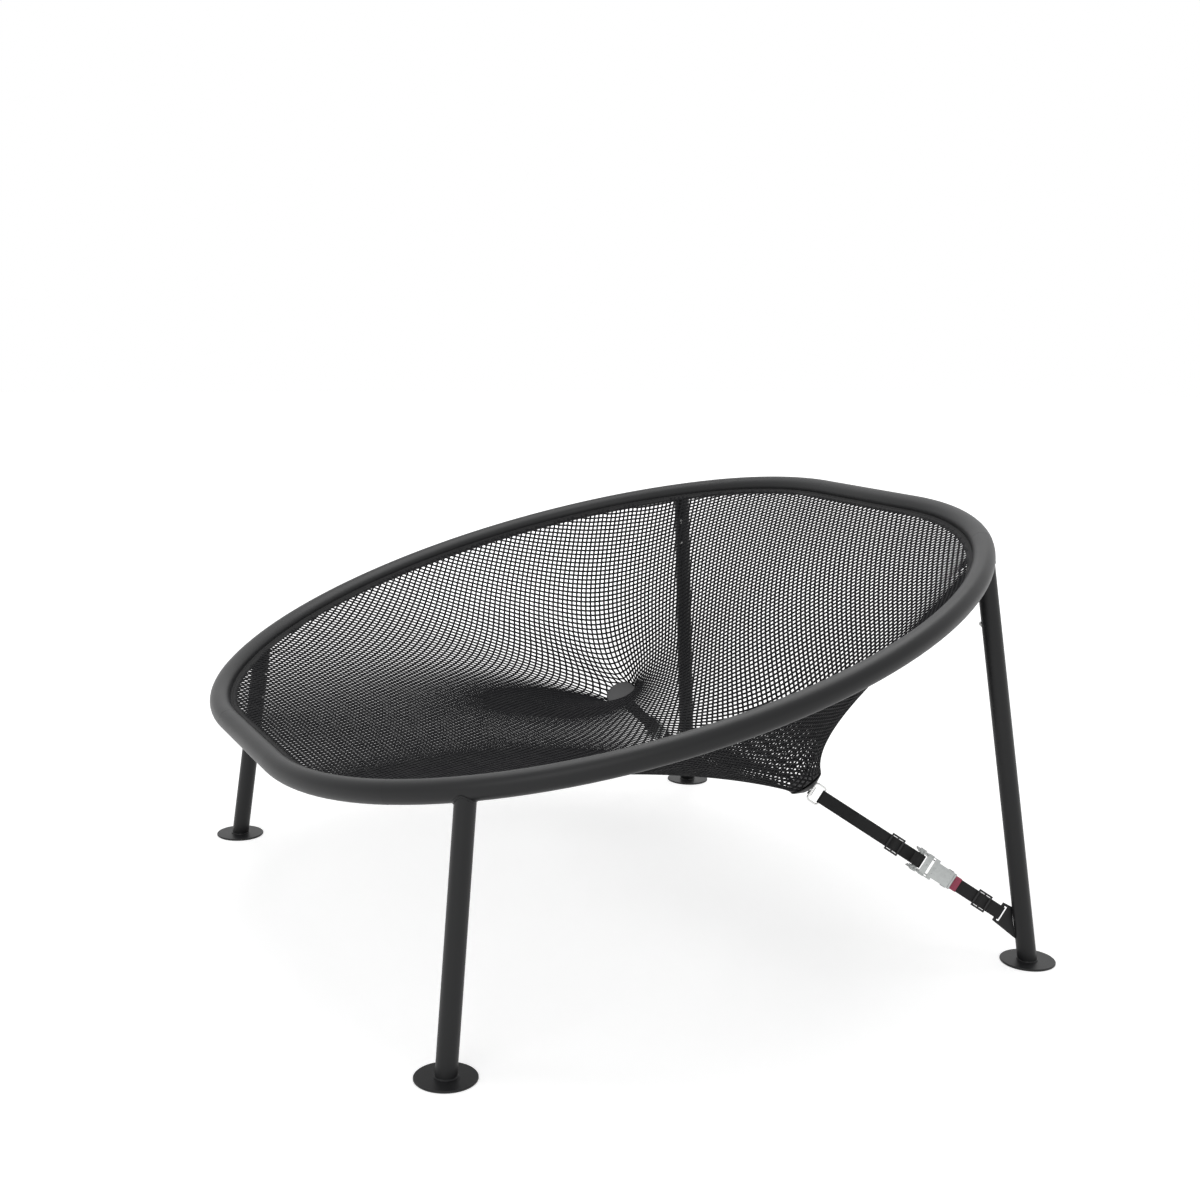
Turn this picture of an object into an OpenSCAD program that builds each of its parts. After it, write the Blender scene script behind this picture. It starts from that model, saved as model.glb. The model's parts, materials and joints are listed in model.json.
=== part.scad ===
// Outdoor net lounge chair: tilted tube ring, four splayed legs, pulled-down net, two ratchet straps.
// Millimetres, +Z up, the sitter faces -Y, left and right are mirror images about X = 0.

/* [Ring] */
// Width of the ring between tube centres
ring_w = 1606; // [1200:2:2000]
// Length of the ring in its own plane between tube centres
ring_l = 1379; // [1100:1:1700]
// Straight run at the front and at the back
ring_straight = 316; // [160:2:500]
// Bend radius of the four shoulders
shoulder_r = 593; // [300:1:620]
// Tube diameter
ring_d = 40; // [34:1:50]
// Tube wall
ring_wall = 2.5; // [1.5:0.1:4]
// Height of the ring's middle above the floor
ring_z = 584; // [500:1:700]
// Backward tilt of the ring, degrees
ring_tilt = 16.75; // [8:0.25:24]
// Length of the joining sleeves inside the tube
sleeve_l = 120; // [60:5:200]

/* [Legs] */
// Leg tube diameter
leg_d = 35; // [28:1:38]
// Leg tube wall
leg_wall = 2; // [1.5:0.1:3]
// Direction of the front leg tops, degrees off the width axis
leg_front_dir = 40.2; // [32:0.1:50]
// Direction of the rear leg tops, degrees off the width axis
leg_rear_dir = 44.5; // [34:0.1:52]
// Half the spread of the front feet
foot_front_x = 637; // [540:1:720]
// Half the spread of the rear feet
foot_rear_x = 635; // [540:1:720]
// Front feet, distance before the middle
foot_front_y = 528; // [440:1:600]
// Rear feet, distance behind the middle
foot_rear_y = 607; // [500:1:625]
// Welded stub below the ring
stub_l = 24; // [15:1:40]
// Spigot length inside the leg
spigot_l = 110; // [60:5:160]
// Foot plate diameter
foot_d = 100; // [70:1:130]
// Foot plate thickness
foot_t = 4; // [3:0.5:8]

/* [Leg screws] */
// Thread diameter
screw_d = 6; // [5:1:8]
// Head diameter
screw_head_d = 10.5; // [9:0.5:14]
// Head height
screw_head_h = 3.2; // [2.5:0.1:5]
// Upper screw, distance below the seam
screw_first = 24; // [18:1:40]
// Distance between the two screws
screw_pitch = 52; // [30:1:70]

/* [Net] */
// Width of the hem band
hem_w = 22; // [14:1:36]
// Thickness of net and hem
net_t = 2.4; // [1.6:0.2:4]
// Net gaps across and along
net_cells = 16; // [8:8:16]
// Width of a net strand
strand_w = 11; // [6:1:16]
// Angle of the keder groove below the ring's plane, degrees
keder_dir = 8; // [0:1:50]
// Keder cord diameter
keder_d = 5.4; // [4:0.2:7]

/* [Pull points] */
// Pull point, distance from the middle line
pull_x = 373; // [280:1:440]
// Pull point, distance behind the middle in the ring's plane
pull_y = 188; // [120:1:260]
// Pull point, depth below the ring's plane
pull_depth = 347; // [260:1:390]
// Lean of the buttons, 0 square to the ring's plane and 1 square to the strap
pull_lean = 0.5; // [0:0.05:1]
// Button diameter
button_d = 70; // [50:1:80]
// Button thickness
button_t = 5; // [4:0.5:9]
// Clamp cup, small end diameter
cup_d = 36; // [26:1:46]
// Clamp cup height
cup_h = 12; // [6:1:20]

/* [Straps] */
// Webbing width
web_w = 25; // [20:1:30]
// Webbing thickness
web_t = 1.6; // [1.2:0.1:2.4]
// Height of the tab on the rear leg
tab_z = 62; // [50:1:120]
// Tab thickness
tab_t = 3; // [2:0.5:5]
// Tab height at the leg
tab_h = 50; // [40:1:70]
// Reach of the tab beyond the leg's axis
tab_reach = 56; // [46:1:70]
// Loop wire diameter
loop_wire = 4; // [3:0.5:6]
// Slider length along the webbing
slider_l = 27; // [22:1:36]
// Middle of the upper slider, from the pull point
slider_up = 202; // [175:1:212]
// Middle of the lower slider, from the pull point
slider_low = 388; // [375:1:396]
// Sewn end of the upper webbing, from the pull point
sewn_end = 119; // [90:1:150]

/* [Ratchet] */
// Spool axis, from the pull point
spool_x = 250; // [240:1:262]
// Spool axis to fixed bolt
bolt_gap = 64; // [58:1:76]
// Spool diameter
spool_d = 12; // [10:0.5:14]
// Ratchet wheel tip radius
wheel_r = 13.5; // [12:0.5:16]
// Teeth on a wheel
teeth = 12; // [10:1:14]
// Side plate thickness
plate_t = 1.8; // [1.5:0.1:2.5]
// Fixed bolt diameter
bolt_d = 8; // [6:0.5:9]
// Turns of webbing on the spool
roll_turns = 1.5; // [1:0.25:1.75]

/* [Hidden] */
$fn = 48;
e0 = 0.3; // running gap between curved faces
weld = 0.3; // gap at a weld's cut
fit = 0.05; // radial clearance of a pin in its bore
half_w = ring_w / 2;
half_l = ring_l / 2;
// Least distance of a shoulder's centre past the point where the shoulder would take the whole side.
side_turn = 40;
run = max(ring_straight / 2, half_w - half_l + side_turn);
bend_r = min(shoulder_r, half_w - run - 40, half_l - 60);
k_off = run - half_w;
side_r = (bend_r * bend_r - k_off * k_off - pow(half_l - bend_r, 2)) / (2 * (k_off + bend_r));
side_c = [half_w - side_r, 0];
bend_c = [run, half_l - bend_r];
bend_dir = atan2(bend_c.y, bend_c.x - side_c.x);
tube_r = ring_d / 2;
leg_r = leg_d / 2;

function unit(v) = v / norm(v);
function in_world(p) = let(c = cos(ring_tilt), s = sin(ring_tilt))
  [p.x, p.y * c - p.z * s, ring_z + p.y * s + p.z * c];
function turned(p) = let(c = cos(ring_tilt), s = sin(ring_tilt)) [p.x, p.y * c - p.z * s, p.y * s + p.z * c];
module in_ring() { translate([0, 0, ring_z]) rotate([ring_tilt, 0, 0]) children(); }
module mirrored(left) { if (left) mirror([1, 0, 0]) children(); else children(); }
module place(o, x, y, z) {
  multmatrix([[x.x, y.x, z.x, o.x], [x.y, y.y, z.y, o.y], [x.z, y.z, z.z, o.z], [0, 0, 0, 1]]) children();
}

// The rim: the ring's centre line, met by a ray from its middle.
function hit(c, r, e) = let(b = e * c) b + sqrt(max(0, b * b - c * c + r * r));
side_end = side_c + side_r * [cos(bend_dir), sin(bend_dir)];
function rim_q(a) = let(e = [cos(a), sin(a)])
  a > atan2(half_l, run) ? [half_l / e.y, 0]
  : a > atan2(side_end.y, side_end.x) ? [hit(bend_c, bend_r, e), 1] : [hit(side_c, side_r, e), 2];
function fold(a) = atan2(abs(sin(a)), abs(cos(a)));
function rim(a) = rim_q(fold(a))[0];
function rim_normal(a) = let(f = fold(a), q = rim_q(f), p = q[0] * [cos(f), sin(f)],
  n = q[1] == 0 ? [0, 1] : unit(p - (q[1] == 1 ? bend_c : side_c)))
  [n.x * sign(cos(a)), n.y * sign(sin(a))];

// Ring tube with its keder groove, drawn with +X outward and +Y up.
bead_at = tube_r - 5.5;
bore_d = keder_d + 2 * e0;
slot_w = net_t * 0.8 + 2 * e0;
module toward_keder() { rotate(180 + keder_dir) children(); }
// The shoulders' section is larger by this much, so that each joint of two bends is a clean step.
step_up = 0.1;
module tube_profile(g = 0) {
  difference() {
    union() {
      difference() { circle(r = tube_r + g); circle(r = tube_r - ring_wall - g); }
      toward_keder() translate([bead_at, 0]) circle(d = bore_d + 4.4 + 2 * g);
    }
    toward_keder() {
      translate([bead_at, 0]) circle(d = bore_d - 2 * g);
      translate([bead_at, g - slot_w / 2]) square([10, slot_w - 2 * g]);
    }
  }
}
module keder_profile(g = 0) {
  toward_keder() {
    translate([bead_at, 0]) circle(d = keder_d + 2 * g);
    translate([bead_at, e0 - g - slot_w / 2]) square([tube_r + 0.6 + g - bead_at, slot_w - 2 * e0 + 2 * g]);
  }
}
// Draws the first section along the straights and the side, the second one along the shoulders.
joint_lap = 1;
module along_half() {
  over = joint_lap / bend_r * 180 / PI;
  translate([0, -half_l, 0]) rotate([90, 0, 90]) linear_extrude(run) mirror([1, 0]) children(0);
  translate([0, half_l, 0]) rotate([90, 0, 90]) linear_extrude(run) children(0);
  translate([side_c.x, 0, 0]) rotate([0, 0, -bend_dir])
    rotate_extrude(angle = 2 * bend_dir, $fn = 180) translate([side_r, 0]) children(0);
  for (s = [-90 - over, bend_dir - over]) translate([bend_c.x, sign(s) * bend_c.y, 0]) rotate([0, 0, s])
    rotate_extrude(angle = 90 - bend_dir + 2 * over, $fn = 180) translate([bend_r, 0]) children(1);
}
module ring_half(left) {
  color("#3a3c40") mirrored(left) in_ring() along_half() { tube_profile(); tube_profile(step_up); }
}
module keder_half(left) {
  color("#1c1d1f") mirrored(left) in_ring() along_half() { keder_profile(); keder_profile(step_up); }
}
module ring_sleeve(back) {
  color("#8d9196") in_ring() translate([-sleeve_l / 2, back ? half_l : -half_l, 0]) rotate([90, 0, 90])
    linear_extrude(sleeve_l) mirror([back ? 0 : 1, 0]) difference() {
      circle(r = tube_r - ring_wall - e0);
      circle(r = tube_r - ring_wall - 2.8);
      toward_keder() translate([bead_at, 0]) circle(d = bore_d + 5.4);
    }
}

// Legs: frame at the foot, Z up the leg, X toward the chair's middle.
function leg_top(rear) = let(a = rear ? leg_rear_dir : -leg_front_dir)
  in_world([rim(a) * cos(a), rim(a) * sin(a), 0]);
function leg_foot(rear) = rear ? [foot_rear_x, foot_rear_y, 0] : [foot_front_x, -foot_front_y, 0];
function leg_axis(rear) = unit(leg_top(rear) - leg_foot(rear));
function leg_len(rear) = norm(leg_top(rear) - leg_foot(rear));
function leg_in(rear) = let(z = leg_axis(rear), m = unit([-leg_foot(rear).x, -leg_foot(rear).y, 0]))
  unit(m - (m * z) * z);
function rim_tangent(rear) = let(a = rear ? leg_rear_dir : -leg_front_dir, n = rim_normal(a))
  turned([-n.y, n.x, 0]);
function seam(rear) = leg_len(rear) - tube_r - stub_l;
spigot_r = leg_r - leg_wall - e0;
module at_leg(rear) {
  z = leg_axis(rear);
  x = leg_in(rear);
  place(leg_foot(rear), x, cross(z, x), z) children();
}
module screw_places(rear) {
  for (i = [0, 1]) translate([0, 0, seam(rear) - screw_first - i * screw_pitch])
    rotate([0, 90, 0]) children();
}
module socket(rear, left) {
  color("#35373a") mirrored(left) difference() {
    at_leg(rear) difference() {
      union() {
        translate([0, 0, seam(rear)]) cylinder(r = leg_r, h = tube_r + stub_l);
        translate([0, 0, seam(rear) - spigot_l]) cylinder(r = spigot_r, h = spigot_l);
      }
      translate([0, 0, seam(rear) - spigot_l - 1]) cylinder(r = spigot_r - 2.5, h = spigot_l + 1);
      screw_places(rear) cylinder(r = screw_d / 2 + fit, h = leg_r);
    }
    t = rim_tangent(rear);
    s = unit(cross(t, leg_axis(rear)));
    place(leg_top(rear), s, cross(t, s), t) cylinder(r = tube_r + weld, h = 120, center = true);
  }
}
module leg(rear, left) {
  color("#2f3134") mirrored(left) difference() {
    at_leg(rear) difference() {
      translate([0, 0, -20]) cylinder(r = leg_r, h = seam(rear) + 20);
      translate([0, 0, -21]) cylinder(r = leg_r - leg_wall, h = seam(rear) + 22);
      screw_places(rear) cylinder(r = screw_d / 2 + fit, h = leg_r + 1);
    }
    translate([leg_foot(rear).x, leg_foot(rear).y, foot_t - 50]) cube([200, 200, 100], center = true);
  }
}
foot_edge = 1;
module foot(rear, left) {
  color("#2f3134") mirrored(left) translate(leg_foot(rear)) rotate_extrude() polygon([
    [0, 0], [foot_d / 2 - foot_edge, 0], [foot_d / 2, foot_edge], [foot_d / 2, foot_t - foot_edge],
    [foot_d / 2 - foot_edge, foot_t], [0, foot_t]]);
}
screw_len = leg_wall + 7;
module leg_screws() {
  color("#c4c7ca") for (left = [false, true], rear = [false, true])
    mirrored(left) at_leg(rear) screw_places(rear) {
      translate([0, 0, leg_r + 0.1]) rotate_extrude() polygon([[0, 0], [screw_head_d / 2, 0],
        [screw_head_d / 2, screw_head_h * 0.3], [screw_head_d * 0.32, screw_head_h],
        [2, screw_head_h], [2, screw_head_h - 1.8], [0, screw_head_h - 1.8]]);
      translate([0, 0, leg_r - screw_len]) cylinder(d = screw_d, h = screw_len + 0.1);
    }
}

// Pull frame: X out of the net's low point, between the ring's axis and the strap.
pull = in_world([pull_x, pull_y, -pull_depth]);
tab_root = let(z = leg_axis(true)) leg_foot(true) + z * tab_z / z.z;
pull_axis = unit((1 - pull_lean) * turned([0, 0, -1]) + pull_lean * unit(tab_root - pull));
grip_gap = 0.3;
button_at = -net_t / 2 - grip_gap;
cup_at = net_t / 2 + grip_gap;
eye_x = cup_at + cup_h + 8;
eye_at = pull + eye_x * pull_axis;

// Strap frame: X along the strap through the stud's eye, Y across the webbing, Z off its face.
strap_x = unit(tab_root - eye_at);
strap_at = eye_at - eye_x * strap_x;
face_az = -34;
face_el = 16;
face_v = [cos(face_az) * cos(face_el), sin(face_az) * cos(face_el), sin(face_el)];
strap_z = unit(face_v - (face_v * strap_x) * strap_x);
strap_y = cross(strap_z, strap_x);
strap_len = norm(tab_root - strap_at);
module at_strap(left) { mirrored(left) place(strap_at, strap_x, strap_y, strap_z) children(); }
pull_y_axis = unit(strap_y - (strap_y * pull_axis) * pull_axis);
module at_pull(left) {
  mirrored(left) place(pull, pull_axis, pull_y_axis, cross(pull_axis, pull_y_axis)) children();
}
module across(w) { rotate([90, 0, 0]) linear_extrude(w, center = true) children(); }

// Net surface over the unit disc: two pulled cones, each part straight and part logarithmic.
edge_out = tube_r + 1.2;
straight_share = 0.07;
tip_share = 0.1;
pull_i = floor(net_cells * 0.72);
pull_j = floor(net_cells * 0.42);
function to_disc(i, j) = let(x = 2 * i / net_cells - 1, y = 2 * j / net_cells - 1)
  [x * sqrt(1 - y * y / 2), y * sqrt(1 - x * x / 2)];
pole = to_disc(pull_i + 0.5, pull_j + 0.5);
pole_m = [-pole.x, pole.y];
function flat_at(z) = let(down = -edge_out * sin(keder_dir), in = edge_out * cos(keder_dir))
  norm(z) < 1e-6 ? [0, 0, down]
  : let(a = atan2(z.y, z.x)) concat(rim(a) * z - norm(z) * in * rim_normal(a), [down]);
function cone(z, a) = let(d = z - a, r = norm(d)) r < 1e-6 ? 1
  : let(e = d / r, b = a * e, reach = -b + sqrt(b * b + 1 - a * a)) max(0, 1 - r / reach);
function pool(z, a) = let(p = norm([1 - z * a, z.x * a.y - z.y * a.x]), r = max(norm(z - a), 1e-6))
  min(1, max(0, ln(p / r) / ln((1 - a * a) / tip_share)));
function sag(z, a) = straight_share * cone(z, a) + (1 - straight_share) * pool(z, a);
cross_sag = sag(pole_m, pole);
pull_m = [-pull.x, pull.y, pull.z];
move_r = pull - in_world(flat_at(pole));
move_l = pull_m - in_world(flat_at(pole_m));
function net_at(z) = let(g = sag(z, pole), m = sag(z, pole_m), q = 1 - cross_sag * cross_sag)
  in_world(flat_at(z)) + (g - cross_sag * m) / q * move_r + (m - cross_sag * g) / q * move_l;

// Net nodes. The four round each pull point sit on a square under the button.
tip_half = button_d / 2 + 2.5;
tip_u = unit([1, 0, 0] - pull_axis.x * pull_axis);
tip_v = cross(tip_u, pull_axis);
hem_share = 1 - hem_w / half_w / 1.15;
function tip_node(i, j) = pull
  + tip_half * ((2 * (i - pull_i) - 1) * tip_u + (2 * (j - pull_j) - 1) * tip_v);
function flip_x(p) = [-p.x, p.y, p.z];
function at_tip(i, j) = i >= pull_i && i <= pull_i + 1 && j >= pull_j && j <= pull_j + 1;
function node_of(i, j) = at_tip(i, j) ? tip_node(i, j)
  : at_tip(net_cells - i, j) ? flip_x(tip_node(net_cells - i, j)) : net_at(to_disc(i, j) * hem_share);
nc = net_cells;
grid = [for (j = [0 : nc]) [for (i = [0 : nc]) node_of(i, j)]];
function clampi(i) = max(0, min(nc, i));
function lift(i, j) = let(a = grid[j][clampi(i + 1)] - grid[j][clampi(i - 1)],
  b = grid[clampi(j + 1)][i] - grid[clampi(j - 1)][i], edge = (i == 0 || i == nc) && (j == 0 || j == nc))
  edge ? unit(turned([0, 0, 1])) : unit(cross(a, b));
lifts = [for (j = [0 : nc]) [for (i = [0 : nc]) lift(i, j)]];
function blend(q, a, b) = (q[0] * (1 - a) + q[1] * a) * (1 - b) + (q[3] * (1 - a) + q[2] * a) * b;
function hole(i, j) = let(q = [grid[j][i], grid[j][i + 1], grid[j + 1][i + 1], grid[j + 1][i]],
  n = unit(cross(q[2] - q[0], q[3] - q[1])),
  wide = (norm(q[1] - q[0]) + norm(q[2] - q[3])) / 2, tall = (norm(q[3] - q[0]) + norm(q[2] - q[1])) / 2,
  a = min(0.4, strand_w / 2 / wide), b = min(0.4, strand_w / 2 / tall),
  h = [blend(q, a, b), blend(q, 1 - a, b), blend(q, 1 - a, 1 - b), blend(q, a, 1 - b)])
  [for (s = [0.5, -0.5], p = h) p + s * net_t * n];
ng = (nc + 1) * (nc + 1);
grid_points = [for (s = [0.5, -0.5], j = [0 : nc], i = [0 : nc]) grid[j][i] + s * net_t * lifts[j][i]];
hole_points = [for (j = [0 : nc - 1], i = [0 : nc - 1]) each hole(i, j)];
function g_id(i, j, low) = low * ng + j * (nc + 1) + i;
function h_id(i, j, k, low) = 2 * ng + (j * nc + i) * 8 + low * 4 + k;
function quad(a, b, c, d) = [[a, c, b], [a, d, c]];
edge_ids = concat([for (i = [0 : nc - 1]) [i, 0]], [for (j = [0 : nc - 1]) [nc, j]],
  [for (i = [0 : nc - 1]) [nc - i, nc]], [for (j = [0 : nc - 1]) [0, nc - j]]);
ne = len(edge_ids);
function step(k, n) = (k + 1) % n;
net_faces = concat(
  [for (j = [0 : nc - 1], i = [0 : nc - 1], k = [0 : 3]) let(
      c = [[i, j], [i + 1, j], [i + 1, j + 1], [i, j + 1]], p = c[k], q = c[step(k, 4)])
    each concat(
      quad(g_id(p.x, p.y, 0), g_id(q.x, q.y, 0), h_id(i, j, step(k, 4), 0), h_id(i, j, k, 0)),
      quad(g_id(q.x, q.y, 1), g_id(p.x, p.y, 1), h_id(i, j, k, 1), h_id(i, j, step(k, 4), 1)),
      quad(h_id(i, j, k, 0), h_id(i, j, step(k, 4), 0), h_id(i, j, step(k, 4), 1), h_id(i, j, k, 1)))],
  [for (k = [0 : ne - 1]) let(p = edge_ids[k], q = edge_ids[step(k, ne)])
    each quad(g_id(q.x, q.y, 0), g_id(p.x, p.y, 0), g_id(p.x, p.y, 1), g_id(q.x, q.y, 1))]);
module net() { color("#232427") polyhedron(points = concat(grid_points, hole_points), faces = net_faces); }

function edge_lift(z) = let(n = rim_normal(atan2(z.y, z.x)))
  turned([-n.x * sin(keder_dir), -n.y * sin(keder_dir), cos(keder_dir)]);
hem_points = concat(
  [for (s = [0.5, -0.5], p = edge_ids) grid[p.y][p.x] + s * net_t * lifts[p.y][p.x]],
  [for (s = [0.5, -0.5], p = edge_ids) let(z = unit(to_disc(p.x, p.y)))
    in_world(flat_at(z)) + s * net_t * edge_lift(z)]);
hem_faces = [for (k = [0 : ne - 1]) let(n = step(k, ne)) each concat(
  quad(k, 2 * ne + k, 2 * ne + n, n), quad(ne + n, 3 * ne + n, 3 * ne + k, ne + k),
  quad(n, ne + n, ne + k, k), quad(2 * ne + k, 3 * ne + k, 3 * ne + n, 2 * ne + n))];
module net_hem() { color("#17181a") polyhedron(points = hem_points, faces = hem_faces); }

// Pull point hardware.
stud_d = 8;
stud_head_d = 14;
stud_head_t = 2;
module turn_x(x) { translate([x, 0, 0]) rotate([0, 90, 0]) children(); }
// The stud's head lies in a pocket of the button, under an unbroken face.
module button(left) {
  color("#222326") at_pull(left) turn_x(button_at - button_t) difference() {
    rotate_extrude() polygon([[0, 0], [button_d / 2 - 2.5, 0], [button_d / 2, 2.5], [button_d / 2, button_t],
      [0, button_t]]);
    translate([0, 0, button_t - stud_head_t - fit]) cylinder(r = stud_head_d / 2 + fit, h = button_t);
  }
}
module clamp_cup(left) {
  color("#1d1e20") at_pull(left) turn_x(cup_at) difference() {
    cylinder(d1 = button_d - 2, d2 = cup_d, h = cup_h);
    translate([0, 0, -1]) cylinder(r = stud_d / 2 + fit, h = cup_h + 2);
  }
}
eye_w = 18;
eye_d = 10;
module stud(left) {
  color("#b9bcbf") difference() {
    union() {
      at_pull(left) turn_x(button_at - stud_head_t) cylinder(d = stud_head_d, h = stud_head_t);
      at_pull(left) turn_x(button_at - 1) cylinder(d = stud_d, h = eye_x - button_at + 1);
      at_strap(left) translate([eye_x, 0, 0]) rotate([90, 0, 0]) {
        cylinder(d = eye_d - 1, h = eye_w, center = true);
        for (i = [-2 : 2]) translate([0, 0, i * 3.6]) cylinder(d = eye_d, h = 2, center = true);
      }
    }
    at_strap(left) translate([eye_x, 0, 0]) rotate([90, 0, 0])
      cylinder(d = loop_wire + 2 * e0, h = eye_w + 2, center = true);
  }
}
// The loop is a rounded rectangle of wire that runs through the eye and holds the webbing.
loop_l = 22;
loop_half = web_w / 2 + 3 + loop_wire / 2;
loop_bend = 5;
module wire_loop(left) {
  color("#d5d8da") at_strap(left) translate([eye_x + loop_l / 2, 0, 0]) {
    for (s = [-1, 1]) {
      translate([s * loop_l / 2, 0, 0]) rotate([90, 0, 0])
        cylinder(d = loop_wire, h = 2 * (loop_half - loop_bend), center = true);
      translate([0, s * loop_half, 0]) rotate([0, 90, 0])
        cylinder(d = loop_wire, h = loop_l - 2 * loop_bend, center = true);
      for (t = [-1, 1]) translate([s * (loop_l / 2 - loop_bend), t * (loop_half - loop_bend), 0])
        rotate([0, 0, s > 0 ? (t > 0 ? 0 : 270) : (t > 0 ? 90 : 180)])
          rotate_extrude(angle = 90) translate([loop_bend, 0]) circle(d = loop_wire);
    }
  }
}

// Webbing: a band of even thickness along points in the strap's X and Z.
function side_of(p, q) = let(d = unit(q - p)) [-d.y, d.x];
function band_off(pts, i, o) = let(n = len(pts),
  a = side_of(pts[max(0, i - 1)], pts[max(1, i)]), b = side_of(pts[min(n - 2, i)], pts[min(n - 1, i + 1)]),
  m = unit(a + b)) pts[i] + m * o / (m * b);
function band(pts) = concat([for (i = [0 : len(pts) - 1]) band_off(pts, i, web_t / 2)],
  [for (i = [len(pts) - 1 : -1 : 0]) band_off(pts, i, -web_t / 2)]);
module webbing(pts) { across(web_w) polygon(band(pts)); }
function leave(c, r, p, side) = let(d = p - c) atan2(d.y, d.x) + side * acos(r / norm(d));
function wound(c, r, from, to, n) = let(a0 = 360 + leave(c, r, from, -1), a1 = leave(c, r, to, 1))
  [for (i = [0 : n]) let(a = a0 + (a1 - a0) * i / n) c + r * [cos(a), sin(a)]];

// Slider: two end bars and a middle bar, with the webbing over the middle one.
bar_w = 3;
bar_t = 2.4;
wave = bar_t / 2 + e0 + web_t / 2;
function weave(x) = let(g = slider_l / 2 - bar_w / 2, f = bar_w / 2 + 0.8)
  [[x - g - f - 5, 0], [x - g - f, -wave], [x - g + f, -wave], [x - f, wave], [x + f, wave],
   [x + g - f, -wave], [x + g + f, -wave], [x + g + f + 5, 0]];
slider_w = web_w + 9;
module slider(left, x, z) {
  color("#1b1c1e") at_strap(left) translate([x, 0, z]) {
    for (s = [-1, 0, 1]) translate([s * (slider_l - bar_w) / 2, 0, 0])
      cube([bar_w, slider_w - 2, bar_t], center = true);
    for (s = [-1, 1]) translate([0, s * (slider_w - 3.6) / 2, 0])
      cube([slider_l, 3.6, bar_t + 1], center = true);
  }
}

// Upper webbing: sewn round the loop's far bar, through the slider, onto the roll's lowest point.
loop_end = eye_x + loop_l;
wrap = loop_wire / 2 + e0 + web_t / 2;
roll_gap = 0.5;
roll_in = spool_d / 2 + roll_gap + web_t / 2;
roll_out = roll_in + roll_turns * (web_t + roll_gap);
spool_z = roll_out + web_t + e0;
module strap_upper(left) {
  color("#1e1f21") at_strap(left) {
    from = [loop_end + 12, -web_t - 0.05];
    to = [loop_end + 12, 0];
    webbing(concat([[sewn_end, from.y], from],
      wound([loop_end, 0], wrap, from, to, 12), [to, [slider_up - slider_l / 2 - 9, 0]],
      weave(slider_up), [[spool_x, 0]]));
  }
}
// The roll: one spiral of webbing, drawn with the spool's axis at the origin.
roll_steps = 20;
roll_line = [for (i = [0 : roll_steps * roll_turns]) let(a = -90 - 360 * i / roll_steps,
  r = roll_out - i / roll_steps * (web_t + roll_gap)) r * [cos(a), sin(a)]];
roll_band = band(roll_line);
rn = len(roll_line);
roll_least = min([for (i = [0 : rn - 1], j = [0 : rn - 1]) if (j > i + roll_steps / 2)
  min(norm(roll_band[2 * rn - 1 - j] - roll_band[i]), norm(roll_band[j] - roll_band[2 * rn - 1 - i]))]);
echo(roll_least_gap = roll_least);
module at_spool(left) { at_strap(left) translate([spool_x, 0, spool_z]) children(); }
module strap_roll(left) { color("#1e1f21") at_spool(left) across(web_w) polygon(roll_band); }

// Ratchet. Layers outward from the webbing: frame plate, wheel, handle ear.
in_y = web_w / 2 + 1.5;
wheel_y = in_y + plate_t + e0;
wheel_t = 2.2;
ear_y = wheel_y + wheel_t + e0;
bolt_z = web_t / 2 - spool_z + 1.2;
frame_r = wheel_r - 3.5;
tail_r = 6.5;
module both_y(y, t) { for (s = [-1, 1]) translate([0, s * (y + t / 2), 0]) rotate([90, 0, 0])
  linear_extrude(t, center = true) children(); }
function bridge(a, ra, b, rb) = let(d = b - a, l = norm(d), u = d / l, v = [-u.y, u.x],
  s = (ra - rb) / l, c = sqrt(1 - s * s), n = s * u + c * v, m = s * u - c * v, p = ra - 0.05, q = rb - 0.05)
  [a + p * n, b + q * n, b + q * m, a + p * m];
bolt_c = [bolt_gap, bolt_z];
journal_d = 9;
pawl_t = 1.8;
base_pawl_z = -5.2;
base_pawl_x = wheel_r + 0.4;
module frame_plate() {
  difference() {
    union() {
      circle(r = frame_r);
      translate(bolt_c) circle(r = tail_r);
      polygon(bridge([0, 0], frame_r, bolt_c, tail_r));
    }
    circle(r = journal_d / 2 + fit);
    translate(bolt_c) circle(r = bolt_d / 2 + fit);
    translate([9, base_pawl_z - pawl_t / 2 - e0]) square([22, pawl_t + 2 * e0]);
  }
}
module ratchet_frame(left) {
  color("#aeb3b2") at_spool(left) {
    both_y(in_y, plate_t) frame_plate();
    translate([bolt_gap * 0.62, 0, base_pawl_z - 1.5])
      cube([bolt_gap * 0.3, 2 * in_y + plate_t, plate_t], center = true);
    translate([bolt_gap * 0.62, 0, base_pawl_z + 1]) cube([3, 2 * in_y + plate_t / 2, 6], center = true);
  }
}
head_h = 1.5;
module fixed_bolt(left) {
  color("#9da2a3") at_spool(left) translate([bolt_c.x, 0, bolt_c.y]) rotate([90, 0, 0]) {
    cylinder(d = bolt_d, h = 2 * (in_y + plate_t + 0.1), center = true);
    for (s = [-1, 1]) translate([0, 0, s * (in_y + plate_t + 0.1 + head_h / 2)])
      cylinder(d = bolt_d + 3, h = head_h, center = true);
  }
}
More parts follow.
